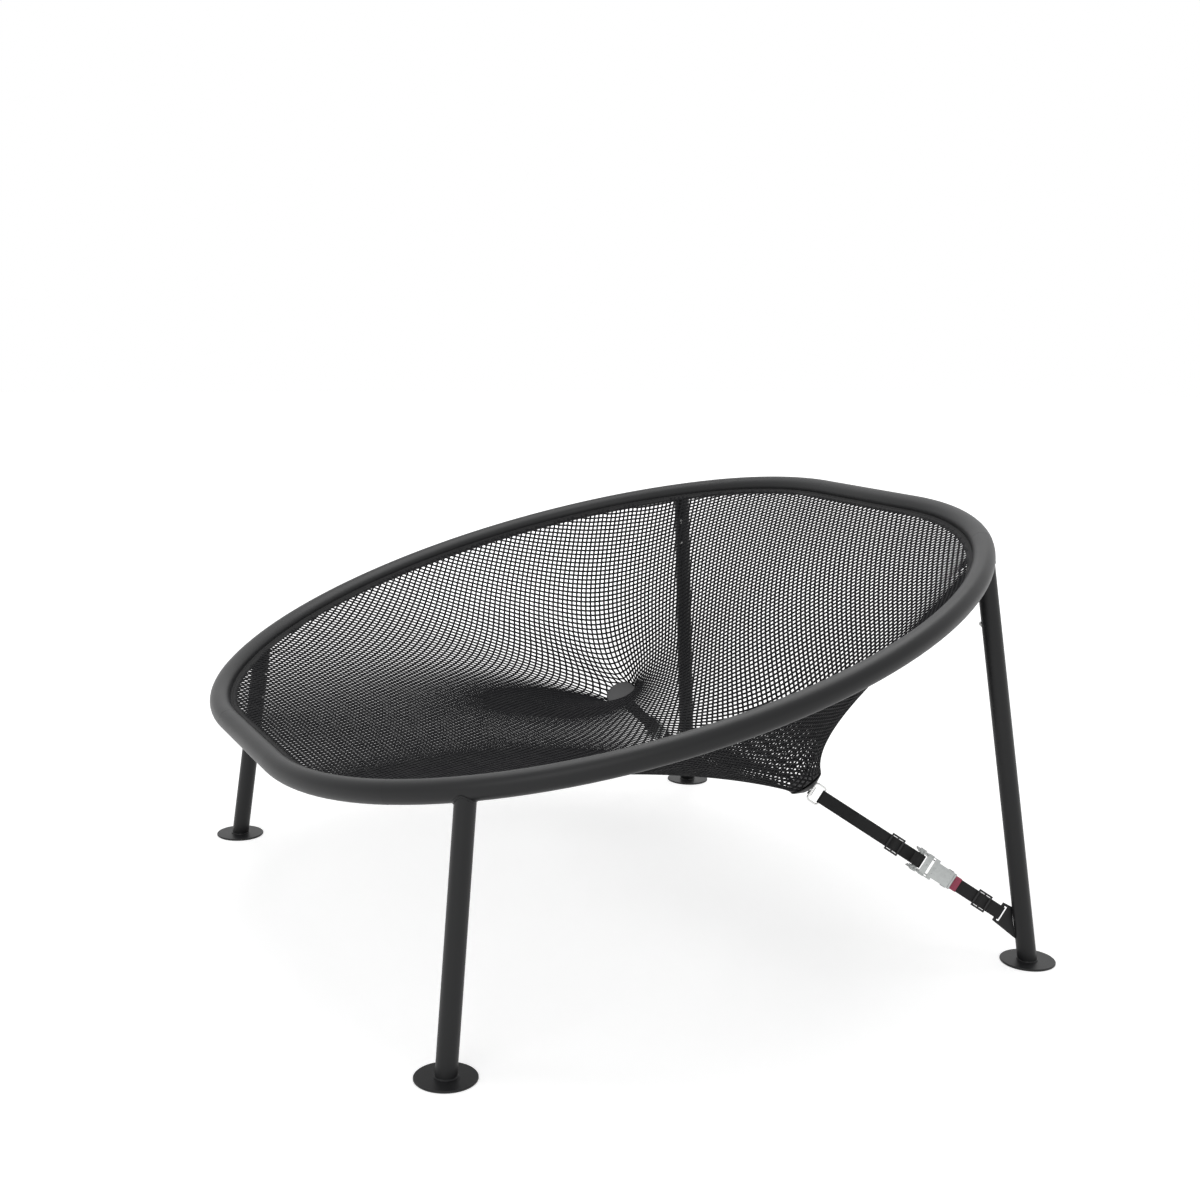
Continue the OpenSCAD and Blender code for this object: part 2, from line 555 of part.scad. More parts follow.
// Two half round bars with the webbing's end between them, journals, and rivet heads.
spool_slot = web_t + 1;
module spool(left) {
  color("#9da2a3") at_spool(left) rotate([90, 0, 0]) {
    difference() {
      cylinder(d = spool_d, h = 2 * in_y - 1, center = true);
      cube([spool_d + 2, spool_slot, web_w + 1], center = true);
    }
    for (s = [-1, 1]) {
      translate([0, 0, s * (in_y - 0.5 + (ear_y + plate_t + 1) / 2 - in_y / 2)])
        cylinder(d = journal_d, h = ear_y + plate_t + 1 - in_y, center = true);
      translate([0, 0, s * (ear_y + plate_t + e0 + head_h / 2)])
        cylinder(d = journal_d + 4, h = head_h, center = true);
    }
  }
}
tooth_a = 360 / teeth;
root_r = wheel_r - 2.6;
module wheel_shape() {
  difference() {
    polygon([for (i = [0 : teeth - 1]) each [
      wheel_r * [cos(i * tooth_a), sin(i * tooth_a)], root_r * [cos(i * tooth_a + 4), sin(i * tooth_a + 4)],
      root_r * [cos(i * tooth_a + 14), sin(i * tooth_a + 14)]]]);
    circle(r = journal_d / 2 + fit);
  }
}
module ratchet_wheels(left) { color("#b8bdbc") at_spool(left) both_y(wheel_y, wheel_t) wheel_shape(); }

// Handle: round ears on the spool, a cross web, and a narrower grip over the frame's tail.
ear_r = wheel_r + 1.5;
web_x = 26;
grip_x = 35;
grip_end = bolt_gap + 6;
deck_z = wheel_r - 2.5;
deck_t = 1.8;
lip = 3.4;
pawl_z = wheel_r - 3.9;
pawl_x = wheel_r - 2.9;
module ear_shape() {
  difference() {
    union() {
      circle(r = ear_r);
      polygon([[0, ear_r], [4, ear_r], [22, deck_z + deck_t], [grip_x, deck_z + deck_t], [grip_x, 2],
        [12, -9]]);
    }
    circle(r = journal_d / 2 + fit);
    translate([pawl_x - 4.5, pawl_z - pawl_t / 2 - e0]) square([19, pawl_t + 2 * e0]);
  }
}
module handle(left) {
  color("#b4b9b8") at_spool(left) {
    both_y(ear_y, plate_t) ear_shape();
    translate([(web_x + grip_x) / 2, 0, deck_z + deck_t / 2])
      cube([grip_x - web_x, 2 * (ear_y + 0.2), deck_t], center = true);
    translate([(grip_x + grip_end) / 2 - 1, 0, deck_z + deck_t / 2])
      cube([grip_end - grip_x + 2, 2 * (in_y + plate_t), deck_t], center = true);
    for (s = [-1, 1])
      translate([(grip_x + grip_end) / 2 - 1, s * (in_y + plate_t / 2), deck_z - lip / 2 + 0.1])
        cube([grip_end - grip_x + 2, plate_t, lip], center = true);
    translate([grip_end, 0, deck_z + 0.4]) rotate([90, 0, 0])
      cylinder(d = 5, h = 2 * (in_y + plate_t), center = true);
  }
}
pawl_l = 11;
module handle_pawl(left) {
  color("#9a9fa0") at_spool(left) {
    translate([pawl_x + pawl_l / 2, 0, pawl_z])
      cube([pawl_l, 2 * (ear_y + plate_t + 1), pawl_t], center = true);
  }
}
module base_pawl(left) {
  color("#9a9fa0") at_spool(left) {
    translate([base_pawl_x + 5, 0, base_pawl_z]) cube([10, 2 * (wheel_y + wheel_t), pawl_t], center = true);
    translate([base_pawl_x + 9, 0, base_pawl_z - 2]) cube([2, 2 * in_y - 2, 4], center = true);
  }
}

// Lower webbing: round the fixed bolt, sewn, through the slider, and round the tab's bar.
bolt_w = [spool_x + bolt_gap, spool_z + bolt_z];
bolt_wrap = bolt_d / 2 + e0 + web_t / 2;
tab_slot_x = strap_len - tab_reach + 8;
tab_wrap = tab_t / 2 + e0 + web_t / 2;
label_x = bolt_w.x + tail_r + 4;
label_l = 22;
low_gap = 0.4;
lap = web_t + low_gap;
module strap_lower(left) {
  from = [label_x - 2, -lap / 2];
  to = [label_x - 2, lap / 2];
  color("#1e1f21") at_strap(left) webbing(concat(
    [[label_x + label_l + 6, -lap / 2], from],
    wound(bolt_w, bolt_wrap, from, to, 14), [to, [slider_low - slider_l / 2 - 9, lap / 2]],
    [for (p = weave(slider_low)) p + [0, lap / 2]],
    [[tab_slot_x - 12, tab_wrap], [tab_slot_x - 0.6, tab_wrap], [tab_slot_x + 0.4, -tab_wrap],
     [tab_slot_x - 12, -tab_wrap - 0.6], [slider_low + slider_l / 2 + 3, -tab_wrap - 2.4]]));
}
module label_band(left) {
  color("#a02a30") at_strap(left) translate([label_x + label_l / 2, 0, 0]) difference() {
    cube([label_l, web_w + 2 * e0 + 1.6, 2 * lap + 2 * e0 + 1.2], center = true);
    cube([label_l + 2, web_w + 2 * e0, 2 * lap + 2 * e0 - 0.4], center = true);
  }
}
slot_l = web_w + 5;
module strap_tab(left) {
  color("#2f3134") mirrored(left) difference() {
    place(strap_at, strap_x, strap_y, strap_z) translate([0, 0, -tab_t / 2])
      linear_extrude(tab_t) difference() {
        polygon([[strap_len - tab_reach, -slot_l / 2 - 4], [strap_len - tab_reach, slot_l / 2 + 4],
          [strap_len, tab_h / 2], [strap_len, -tab_h / 2]]);
        translate([tab_slot_x - 2, -slot_l / 2]) square([5, slot_l]);
      }
    at_leg(true) cylinder(r = leg_r + weld, h = 200);
  }
}

ring_half(true);  // ring_left
ring_half(false);  // ring_right
ring_sleeve(false);  // ring_sleeve_front
ring_sleeve(true);  // ring_sleeve_back
keder_half(true);  // keder_left
keder_half(false);  // keder_right
net_hem();
net();
socket(false, true);  // socket_front_left
socket(false, false);  // socket_front_right
socket(true, true);  // socket_rear_left
socket(true, false);  // socket_rear_right
leg(false, true);  // leg_front_left
leg(false, false);  // leg_front_right
leg(true, true);  // leg_rear_left
leg(true, false);  // leg_rear_right
foot(false, true);  // foot_front_left
foot(false, false);  // foot_front_right
foot(true, true);  // foot_rear_left
foot(true, false);  // foot_rear_right
leg_screws();
strap_tab(true);  // strap_tab_left
strap_tab(false);  // strap_tab_right
button(true);  // button_left
button(false);  // button_right
clamp_cup(true);  // clamp_cup_left
clamp_cup(false);  // clamp_cup_right
stud(true);  // stud_left
stud(false);  // stud_right
wire_loop(true);  // wire_loop_left
wire_loop(false);  // wire_loop_right
strap_upper(true);  // strap_upper_left
strap_upper(false);  // strap_upper_right
slider(true, slider_up, 0);  // slider_upper_left
slider(false, slider_up, 0);  // slider_upper_right
ratchet_frame(true);  // ratchet_frame_left
ratchet_frame(false);  // ratchet_frame_right
fixed_bolt(true);  // fixed_bolt_left
fixed_bolt(false);  // fixed_bolt_right
spool(true);  // spool_left
spool(false);  // spool_right
ratchet_wheels(true);  // ratchet_wheels_left
ratchet_wheels(false);  // ratchet_wheels_right
strap_roll(true);  // strap_roll_left
strap_roll(false);  // strap_roll_right
handle(true);  // handle_left
handle(false);  // handle_right
handle_pawl(true);  // handle_pawl_left
handle_pawl(false);  // handle_pawl_right
base_pawl(true);  // base_pawl_left
base_pawl(false);  // base_pawl_right
label_band(true);  // label_band_left
label_band(false);  // label_band_right
strap_lower(true);  // strap_lower_left
strap_lower(false);  // strap_lower_right
slider(true, slider_low, lap / 2);  // slider_lower_left
slider(false, slider_low, lap / 2);  // slider_lower_right
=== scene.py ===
import json
import math

import bmesh
import bpy
import numpy as np
from mathutils import Matrix, Vector

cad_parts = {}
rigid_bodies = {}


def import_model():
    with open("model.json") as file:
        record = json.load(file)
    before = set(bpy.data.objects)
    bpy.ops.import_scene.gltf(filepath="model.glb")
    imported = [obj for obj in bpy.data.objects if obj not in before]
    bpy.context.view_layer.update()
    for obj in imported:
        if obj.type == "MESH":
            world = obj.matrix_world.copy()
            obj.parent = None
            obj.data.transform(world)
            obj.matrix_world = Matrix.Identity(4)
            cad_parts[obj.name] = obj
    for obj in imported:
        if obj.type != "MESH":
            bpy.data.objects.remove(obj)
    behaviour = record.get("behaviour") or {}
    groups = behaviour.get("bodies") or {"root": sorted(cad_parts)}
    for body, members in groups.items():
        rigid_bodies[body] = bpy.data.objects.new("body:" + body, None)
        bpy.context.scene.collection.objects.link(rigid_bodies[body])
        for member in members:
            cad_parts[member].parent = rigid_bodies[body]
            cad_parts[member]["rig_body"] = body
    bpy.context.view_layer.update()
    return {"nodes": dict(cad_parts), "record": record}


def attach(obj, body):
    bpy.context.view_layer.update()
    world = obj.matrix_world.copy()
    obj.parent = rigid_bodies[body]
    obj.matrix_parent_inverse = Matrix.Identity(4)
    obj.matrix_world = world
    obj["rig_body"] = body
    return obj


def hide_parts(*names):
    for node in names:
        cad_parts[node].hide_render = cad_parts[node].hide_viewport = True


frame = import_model()
nodes = frame["nodes"]
mm = 0.001  # part sizes below are in millimetres
sides = {"right": 1, "left": -1}


view = {
    "lens": 48.28,  # both in millimetres
    "sensor": 36,
    "place": (2.7789, -1.3493, 1.1434),  # metres
    "yaw": 26.46,  # degrees, left of the -X axis, then down, then clockwise
    "pitch": 9.94,
    "roll": 1.20,
    "farClip": 100,
}


def makeCamera():
    yaw, pitch, roll = (math.radians(view[key]) for key in ("yaw", "pitch", "roll"))
    ahead = Vector((-math.cos(yaw) * math.cos(pitch), math.sin(yaw) * math.cos(pitch), -math.sin(pitch)))
    level = ahead.cross(Vector((0, 0, 1))).normalized()
    above = level.cross(ahead)
    right = level * math.cos(roll) + above * math.sin(roll)
    up = above * math.cos(roll) - level * math.sin(roll)
    data = bpy.data.cameras.new("camera")
    data.lens = view["lens"]
    data.sensor_width = view["sensor"]
    data.clip_end = view["farClip"]
    camera = bpy.data.objects.new("camera", data)
    turned = Matrix((right, up, -ahead)).transposed().to_4x4()
    camera.matrix_world = Matrix.Translation(view["place"]) @ turned
    bpy.context.scene.collection.objects.link(camera)
    bpy.context.scene.camera = camera


def addNode(tree, kind, inputs=None, **settings):
    node = tree.nodes.new(kind)
    for key, value in settings.items():
        setattr(node, key, value)
    for key, value in (inputs or {}).items():
        if isinstance(value, bpy.types.NodeSocket):
            tree.links.new(value, node.inputs[key])
        else:
            node.inputs[key].default_value = value
    return node


def calc(tree, operation, first, second=0.0):
    return addNode(tree, "ShaderNodeMath", {0: first, 1: second}, operation=operation).outputs[0]


studio = {
    "floorColor": (0.80, 0.80, 0.80, 1),
    "floorGlow": (0.545, 1.0),  # near the chair and far from it
    "glowReach": (1.2, 4.5),  # where near ends and far begins, in metres
    "ambient": 0.42,
    "softbox": (2.9, 2.4, 62),  # width and depth in metres, watts
    "softboxPlace": (-0.3, 0.2, 2.9),
    "fill": (2.0, 1.4, 16),
    "fillPlace": (2.2, -2.6, 1.9),
    "aim": (0, 0, 0.4),  # what both lamps face
    "floorSize": 40,
}


def seenRay(tree):  # 1 where the camera sees it, directly, mirrored or through glass
    path = addNode(tree, "ShaderNodeLightPath")
    direct = calc(tree, "MAXIMUM", path.outputs["Is Camera Ray"], path.outputs["Is Glossy Ray"])
    return calc(tree, "MAXIMUM", direct, path.outputs["Is Transmission Ray"])


def makeStudio():
    world = bpy.data.worlds.new("studioWorld")
    world.use_nodes = True
    tree = world.node_tree
    tree.nodes.clear()
    dim = addNode(tree, "ShaderNodeBackground", {"Color": (1, 1, 1, 1), "Strength": studio["ambient"]})
    white = addNode(tree, "ShaderNodeBackground", {"Color": (1, 1, 1, 1), "Strength": 1.0})
    mix = addNode(tree, "ShaderNodeMixShader", {0: seenRay(tree), 1: dim.outputs[0], 2: white.outputs[0]})
    addNode(tree, "ShaderNodeOutputWorld", {"Surface": mix.outputs[0]})
    bpy.context.scene.world = world

    floorLook = bpy.data.materials.new("floorLook")
    floorLook.use_nodes = True
    tree = floorLook.node_tree
    tree.nodes.clear()
    matte = addNode(tree, "ShaderNodeBsdfDiffuse", {"Color": studio["floorColor"]})
    place = addNode(tree, "ShaderNodeTexCoord").outputs["Object"]
    away = addNode(tree, "ShaderNodeVectorMath", {0: place}, operation="LENGTH").outputs["Value"]
    near, far = studio["glowReach"]
    glowNear, glowFar = studio["floorGlow"]
    rising = addNode(tree, "ShaderNodeMapRange", {0: away, 1: near, 2: far, 3: glowNear, 4: glowFar},
                     interpolation_type="SMOOTHSTEP").outputs[0]
    strength = calc(tree, "MULTIPLY", seenRay(tree), rising)
    glow = addNode(tree, "ShaderNodeEmission", {"Color": (1, 1, 1, 1), "Strength": strength})
    both = addNode(tree, "ShaderNodeAddShader", {0: matte.outputs[0], 1: glow.outputs[0]})
    addNode(tree, "ShaderNodeOutputMaterial", {"Surface": both.outputs[0]})
    bm = bmesh.new()
    bmesh.ops.create_grid(bm, x_segments=1, y_segments=1, size=studio["floorSize"] / 2)
    mesh = bpy.data.meshes.new("floor")
    bm.to_mesh(mesh)
    bm.free()
    mesh.materials.append(floorLook)
    floor = bpy.data.objects.new("floor", mesh)
    bpy.context.scene.collection.objects.link(floor)

    for name in ("softbox", "fill"):
        place = studio[name + "Place"]
        wide, deep, power = studio[name]
        data = bpy.data.lights.new(name, "AREA")
        data.shape = "RECTANGLE"
        data.size, data.size_y, data.energy = wide, deep, power
        lamp = bpy.data.objects.new(name, data)
        lamp.location = place
        lamp.rotation_euler = (Vector(studio["aim"]) - Vector(place)).to_track_quat("-Z", "Y").to_euler()
        bpy.context.scene.collection.objects.link(lamp)


makeCamera()
makeStudio()
scene = bpy.context.scene
scene.view_settings.view_transform = "Standard"
print("stage ready")


def newGroup(name, inputs, outputs):
    tree = bpy.data.node_groups.new(name, "ShaderNodeTree")
    for label, value in inputs.items():
        kind = "NodeSocketColor" if isinstance(value, tuple) else "NodeSocketFloat"
        tree.interface.new_socket(label, in_out="INPUT", socket_type=kind).default_value = value
    for label, kind in outputs.items():
        tree.interface.new_socket(label, in_out="OUTPUT", socket_type="NodeSocket" + kind)
    return tree, addNode(tree, "NodeGroupInput").outputs, addNode(tree, "NodeGroupOutput")


def makeGrainGroup():  # fine grain with a slow drift of shade and gloss, on Object coordinates
    tree, given, out = newGroup(
        "surfaceGrain",
        {"Color": (0.5, 0.5, 0.5, 1), "Roughness": 0.5, "Grain": 900.0, "Uneven": 0.15, "Drift": 9.0},
        {"Color": "Color", "Roughness": "Float", "Height": "Float"},
    )
    place = addNode(tree, "ShaderNodeTexCoord").outputs["Object"]
    fine = addNode(tree, "ShaderNodeTexNoise", {"Vector": place, "Scale": given["Grain"], "Detail": 2.0})
    slow = addNode(tree, "ShaderNodeTexNoise", {"Vector": place, "Scale": given["Drift"], "Detail": 4.0})
    away = calc(tree, "SUBTRACT", slow.outputs[0], 0.5)
    speck = calc(tree, "SUBTRACT", fine.outputs[0], 0.5)
    both = calc(tree, "ADD", away, calc(tree, "MULTIPLY", speck, 0.6))
    shade = calc(tree, "ADD", calc(tree, "MULTIPLY", both, calc(tree, "MULTIPLY", given["Uneven"], 2.0)), 1.0)
    tint = addNode(tree, "ShaderNodeVectorMath", {0: given["Color"], "Scale": shade}, operation="SCALE")
    gloss = calc(tree, "ADD", given["Roughness"], calc(tree, "MULTIPLY", away, given["Uneven"]))
    for label, socket in (("Color", tint.outputs[0]), ("Roughness", gloss), ("Height", fine.outputs[0])):
        tree.links.new(socket, out.inputs[label])
    return tree


def makeWeaveGroup():  # ribs across the band, each rib broken along it, on a UV map in millimetres; the colour is painted shade in the hollows between the ribs and painted light on their crowns, with a real fibre mottle over it
    tree, given, out = newGroup(
        "bandWeave",
        {"Dark": (0.01, 0.01, 0.01, 1), "Light": (0.03, 0.03, 0.03, 1), "Rib": 1.3, "Pick": 2.4},
        {"Color": "Color", "Height": "Float"},
    )
    place = addNode(tree, "ShaderNodeUVMap", uv_map="weave").outputs[0]
    axes = addNode(tree, "ShaderNodeSeparateXYZ", {0: place}).outputs
    across = calc(tree, "DIVIDE", axes[0], given["Rib"])
    along = calc(tree, "DIVIDE", axes[1], given["Pick"])
    rib = calc(tree, "ABSOLUTE", calc(tree, "SINE", calc(tree, "MULTIPLY", across, math.pi)))
    turn = calc(tree, "MULTIPLY", calc(tree, "FLOOR", across), 0.5)
    picks = calc(tree, "MULTIPLY", calc(tree, "ADD", along, turn), math.pi)
    pick = calc(tree, "ABSOLUTE", calc(tree, "SINE", picks))
    broken = calc(tree, "ADD", calc(tree, "MULTIPLY", pick, 0.55), 0.45)
    height = calc(tree, "MULTIPLY", calc(tree, "POWER", rib, 0.6), broken)
    stretched = addNode(tree, "ShaderNodeVectorMath", {0: place, 1: (2.2, 0.5, 1)}, operation="MULTIPLY")
    fibre = addNode(tree, "ShaderNodeTexNoise", {"Vector": stretched.outputs[0], "Scale": 2.0, "Detail": 3.0})
    # painted shade and painted light: Dark in the hollows between ribs, Light on their crowns, mottled by the
    # fibre noise
    amount = calc(tree, "MULTIPLY", height, calc(tree, "ADD", fibre.outputs[0], 0.4))
    color = addNode(tree, "ShaderNodeMix", {0: amount, 6: given["Dark"], 7: given["Light"]}, data_type="RGBA")
    tree.links.new(color.outputs[2], out.inputs["Color"])
    tree.links.new(height, out.inputs["Height"])
    return tree


def makeBrushGroup():  # pale and dark patches with a soft mottle, as on plated and drawn metal
    tree, given, out = newGroup(
        "metalPatches",
        {"Color": (0.6, 0.6, 0.6, 1), "Roughness": 0.3, "Patch": 260.0, "Contrast": 0.2},
        {"Color": "Color", "Roughness": "Float", "Height": "Float"},
    )
    place = addNode(tree, "ShaderNodeTexCoord").outputs["Object"]
    patch = addNode(tree, "ShaderNodeTexVoronoi",
                    {"Vector": place, "Scale": given["Patch"], "Randomness": 1.0})
    level = addNode(tree, "ShaderNodeRGBToBW", {0: patch.outputs["Color"]}).outputs[0]
    mist = addNode(tree, "ShaderNodeTexNoise", {"Vector": place, "Scale": 60.0, "Detail": 5.0}).outputs[0]
    both = calc(tree, "SUBTRACT", calc(tree, "MULTIPLY", calc(tree, "ADD", level, mist), 0.5), 0.5)
    shade = calc(tree, "ADD", calc(tree, "MULTIPLY", both, given["Contrast"]), 1.0)
    tint = addNode(tree, "ShaderNodeVectorMath", {0: given["Color"], "Scale": shade}, operation="SCALE")
    gloss = calc(tree, "ADD", given["Roughness"], calc(tree, "MULTIPLY", both, given["Contrast"]))
    for label, socket in (("Color", tint.outputs[0]), ("Roughness", gloss), ("Height", mist)):
        tree.links.new(socket, out.inputs[label])
    return tree


groups = {"grain": makeGrainGroup(), "weave": makeWeaveGroup(), "patches": makeBrushGroup()}


def makeLook(name, group, values, bump, **constants):
    look = bpy.data.materials.new(name)
    look.use_nodes = True
    tree = look.node_tree
    shader = tree.nodes["Principled BSDF"]
    effect = addNode(tree, "ShaderNodeGroup", node_tree=groups[group])
    for label, value in values.items():
        effect.inputs[label].default_value = value
    tree.links.new(effect.outputs["Color"], shader.inputs["Base Color"])
    if "Roughness" in effect.outputs:
        tree.links.new(effect.outputs["Roughness"], shader.inputs["Roughness"])
    strength, depth = bump
    relief = addNode(tree, "ShaderNodeBump",
                     {"Strength": strength, "Distance": depth, "Height": effect.outputs["Height"]})
    tree.links.new(relief.outputs[0], shader.inputs["Normal"])
    for label, value in constants.items():
        shader.inputs[label.replace("_", " ")].default_value = value
    return look


looks = {
    "tubeCoat": makeLook(
        "tubeCoat", "grain",
        {"Color": (0.008, 0.0083, 0.009, 1), "Roughness": 0.42, "Grain": 1500.0, "Uneven": 0.12},
        (0.25, 0.0002), Specular_IOR_Level=0.33,
    ),
    "rawSteel": makeLook(
        "rawSteel", "patches",
        {"Color": (0.42, 0.42, 0.43, 1), "Roughness": 0.45, "Contrast": 0.3}, (0.1, 0.0002), Metallic=1.0,
    ),
    "screwSteel": makeLook(
        "screwSteel", "patches",
        {"Color": (0.66, 0.66, 0.65, 1), "Roughness": 0.24, "Contrast": 0.12}, (0.05, 0.0001), Metallic=1.0,
    ),
    "stainless": makeLook(
        "stainless", "patches",
        {"Color": (0.74, 0.74, 0.73, 1), "Roughness": 0.18, "Contrast": 0.1}, (0.05, 0.0001), Metallic=1.0,
    ),
    "zincPlate": makeLook(
        "zincPlate", "patches",
        {"Color": (0.43, 0.445, 0.44, 1), "Roughness": 0.34, "Contrast": 0.3}, (0.12, 0.0002), Metallic=1.0,
    ),
    "blackPlastic": makeLook(
        "blackPlastic", "grain",
        {"Color": (0.013, 0.013, 0.014, 1), "Roughness": 0.5, "Grain": 2600.0, "Uneven": 0.1}, (0.3, 0.0002),
    ),
    "netCord": makeLook(
        "netCord", "grain",
        {"Color": (0.005, 0.005, 0.006, 1), "Roughness": 0.78, "Grain": 2400.0, "Uneven": 0.4, "Drift": 30.0},
        (0.5, 0.0005), Specular_IOR_Level=0.12,
    ),
    "kederCord": makeLook(
        "kederCord", "grain",
        {"Color": (0.012, 0.012, 0.012, 1), "Roughness": 0.6, "Grain": 900.0, "Uneven": 0.1}, (0.2, 0.0002),
    ),
    # in the three weave looks below, Dark is the painted shade between the ribs and Light the painted light
    # on their crowns
    "hemTape": makeLook(
        "hemTape", "weave",
        {"Dark": (0.004, 0.004, 0.004, 1), "Light": (0.020, 0.020, 0.021, 1), "Rib": 1.1, "Pick": 1.8},
        (0.8, 0.0004), Roughness=0.85, Specular_IOR_Level=0.3,
    ),
    "webbing": makeLook(
        "webbing", "weave",
        {"Dark": (0.006, 0.006, 0.006, 1), "Light": (0.042, 0.042, 0.043, 1), "Rib": 1.4, "Pick": 2.6},
        (0.8, 0.0005), Roughness=0.78, Specular_IOR_Level=0.35,
    ),
    "labelCloth": makeLook(
        "labelCloth", "weave",
        {"Dark": (0.34, 0.02, 0.06, 1), "Light": (0.56, 0.06, 0.14, 1), "Rib": 0.45, "Pick": 0.6},
        (0.3, 0.0002), Roughness=0.36, Specular_IOR_Level=0.7,
    ),
}
slotLooks = {
    "tube_coat": "tubeCoat", "raw_steel": "rawSteel", "screw_steel": "screwSteel", "keder_cord": "kederCord",
    "net_cord": "netCord", "hem_tape": "hemTape", "webbing": "webbing", "black_plastic": "blackPlastic",
    "stainless": "stainless", "zinc_plate": "zincPlate", "label_cloth": "labelCloth",
}
print("finishes ready")


# the ring's outline, the legs, the pull points and the strap line, all in millimetres
ring = {
    "halfWide": 803, "halfLong": 689.5,  # to the tube's centre line
    "run": 158,  # half of the straight run at the front and at the back
    "shoulder": 593,  # radius of the bend beside it
    "middle": 584, "tilt": 16.75,  # height of the centre, degrees
    "tube": 20,  # radius
    "edge": 21.2, "groove": 8,  # where the net leaves the tube: distance and degrees from its centre line
}
legs = {
    "tube": 17.5,
    "frontDir": -40.2, "rearDir": 44.5,  # where each meets the ring, in degrees
    "front": (637, -528), "rear": (635, 607),  # foot centres
    "footThick": 4,
}
pulls = {"place": (373, 188, -347), "lean": 0.5, "eye": 21.5}  # lean 0 along the ring's axis, 1 to the tab
strap = {"tabHigh": 62, "faceTurn": -34, "faceRise": 16}

tilt = Matrix.Rotation(math.radians(ring["tilt"]), 3, "X")
shoulderAt = Vector((ring["run"], ring["halfLong"] - ring["shoulder"]))
offset = ring["run"] - ring["halfWide"]
sideRadius = (ring["shoulder"] ** 2 - offset ** 2 - shoulderAt.y ** 2) / (2 * (offset + ring["shoulder"]))
sideAt = Vector((ring["halfWide"] - sideRadius, 0))
bendTurn = math.atan2(shoulderAt.y, shoulderAt.x - sideAt.x)
sideEnd = sideAt + sideRadius * Vector((math.cos(bendTurn), math.sin(bendTurn)))
straightFrom = math.atan2(ring["halfLong"], ring["run"])
sideTo = math.atan2(sideEnd.y, sideEnd.x)
edgeDown = -ring["edge"] * math.sin(math.radians(ring["groove"]))
edgeIn = ring["edge"] * math.cos(math.radians(ring["groove"]))


def toWorld(point):
    turned = tilt @ Vector(point)
    turned.z += ring["middle"]
    return turned


def rimAt(angle):  # distance of the tube's centre line from the middle, and its outward normal
    c, s = math.cos(angle), math.sin(angle)
    turn = math.atan2(abs(s), abs(c))
    ray = Vector((math.cos(turn), math.sin(turn)))
    if turn > straightFrom:
        far, out = ring["halfLong"] / ray.y, Vector((0, 1))
    else:
        at, radius = (shoulderAt, ring["shoulder"]) if turn > sideTo else (sideAt, sideRadius)
        along = ray.dot(at)
        far = along + math.sqrt(max(0, along * along - at.dot(at) + radius * radius))
        out = (far * ray - at).normalized()
    return far, Vector((math.copysign(out.x, c), math.copysign(out.y, s)))


def legTop(kind):
    angle = math.radians(legs[kind + "Dir"])
    far, out = rimAt(angle)
    return toWorld((far * math.cos(angle), far * math.sin(angle), 0)), tilt @ Vector((-out.y, out.x, 0))


def square(vector, axis):
    return (vector - axis * vector.dot(axis)).normalized()


def legFrame(kind):  # foot, inward X, Y and axis Z of a right leg
    foot = Vector((*legs[kind], 0))
    up = (legTop(kind)[0] - foot).normalized()
    inward = square(Vector((-foot.x, -foot.y, 0)).normalized(), up)
    return foot, inward, up.cross(inward), up


def turnOf(x, y):
    return Matrix((x, y, x.cross(y))).transposed()


rearFoot, _, _, rearUp = legFrame("rear")
tabRoot = rearFoot + rearUp * (strap["tabHigh"] / rearUp.z)
pullRight = toWorld(pulls["place"])
ringDown = tilt @ Vector((0, 0, -1))
pullOut = ringDown.lerp((tabRoot - pullRight).normalized(), pulls["lean"]).normalized()
eyeAt = pullRight + pullOut * pulls["eye"]
strapX = (tabRoot - eyeAt).normalized()
strapFrom = eyeAt - strapX * pulls["eye"]
turn, rise = math.radians(strap["faceTurn"]), math.radians(strap["faceRise"])
strapFace = Vector((math.cos(turn) * math.cos(rise), math.sin(turn) * math.cos(rise), math.sin(rise)))
strapZ = square(strapFace, strapX)
strapTurn = turnOf(strapX, strapZ.cross(strapX))
pullTurn = turnOf(pullOut, square(strapZ.cross(strapX), pullOut))


# matrix from millimetres in a frame of the right side to metres on either side
def placed(origin, turned, sign):
    mirror = Matrix.Diagonal((sign, 1, 1, 1))
    return Matrix.Scale(mm, 4) @ mirror @ Matrix.Translation(origin) @ turned.to_4x4()


def addPiece(name, mesh, body, slotName, replaced=(), sharp=35):
    obj = bpy.data.objects.new(name, mesh)
    bpy.context.scene.collection.objects.link(obj)
    mesh.materials.clear()
    mesh.materials.append(looks[slotLooks[slotName]])
    mesh.shade_smooth()
    mesh.set_sharp_from_angle(angle=math.radians(sharp))
    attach(obj, body)
    if replaced:
        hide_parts(*replaced)
    return obj


def meshFrom(name, bm, place=None):
    if place is not None:
        bmesh.ops.transform(bm, matrix=place, verts=bm.verts)
        if place.determinant() < 0:
            bmesh.ops.reverse_faces(bm, faces=bm.faces)
    mesh = bpy.data.meshes.new(name)
    bm.to_mesh(mesh)
    bm.free()
    return mesh


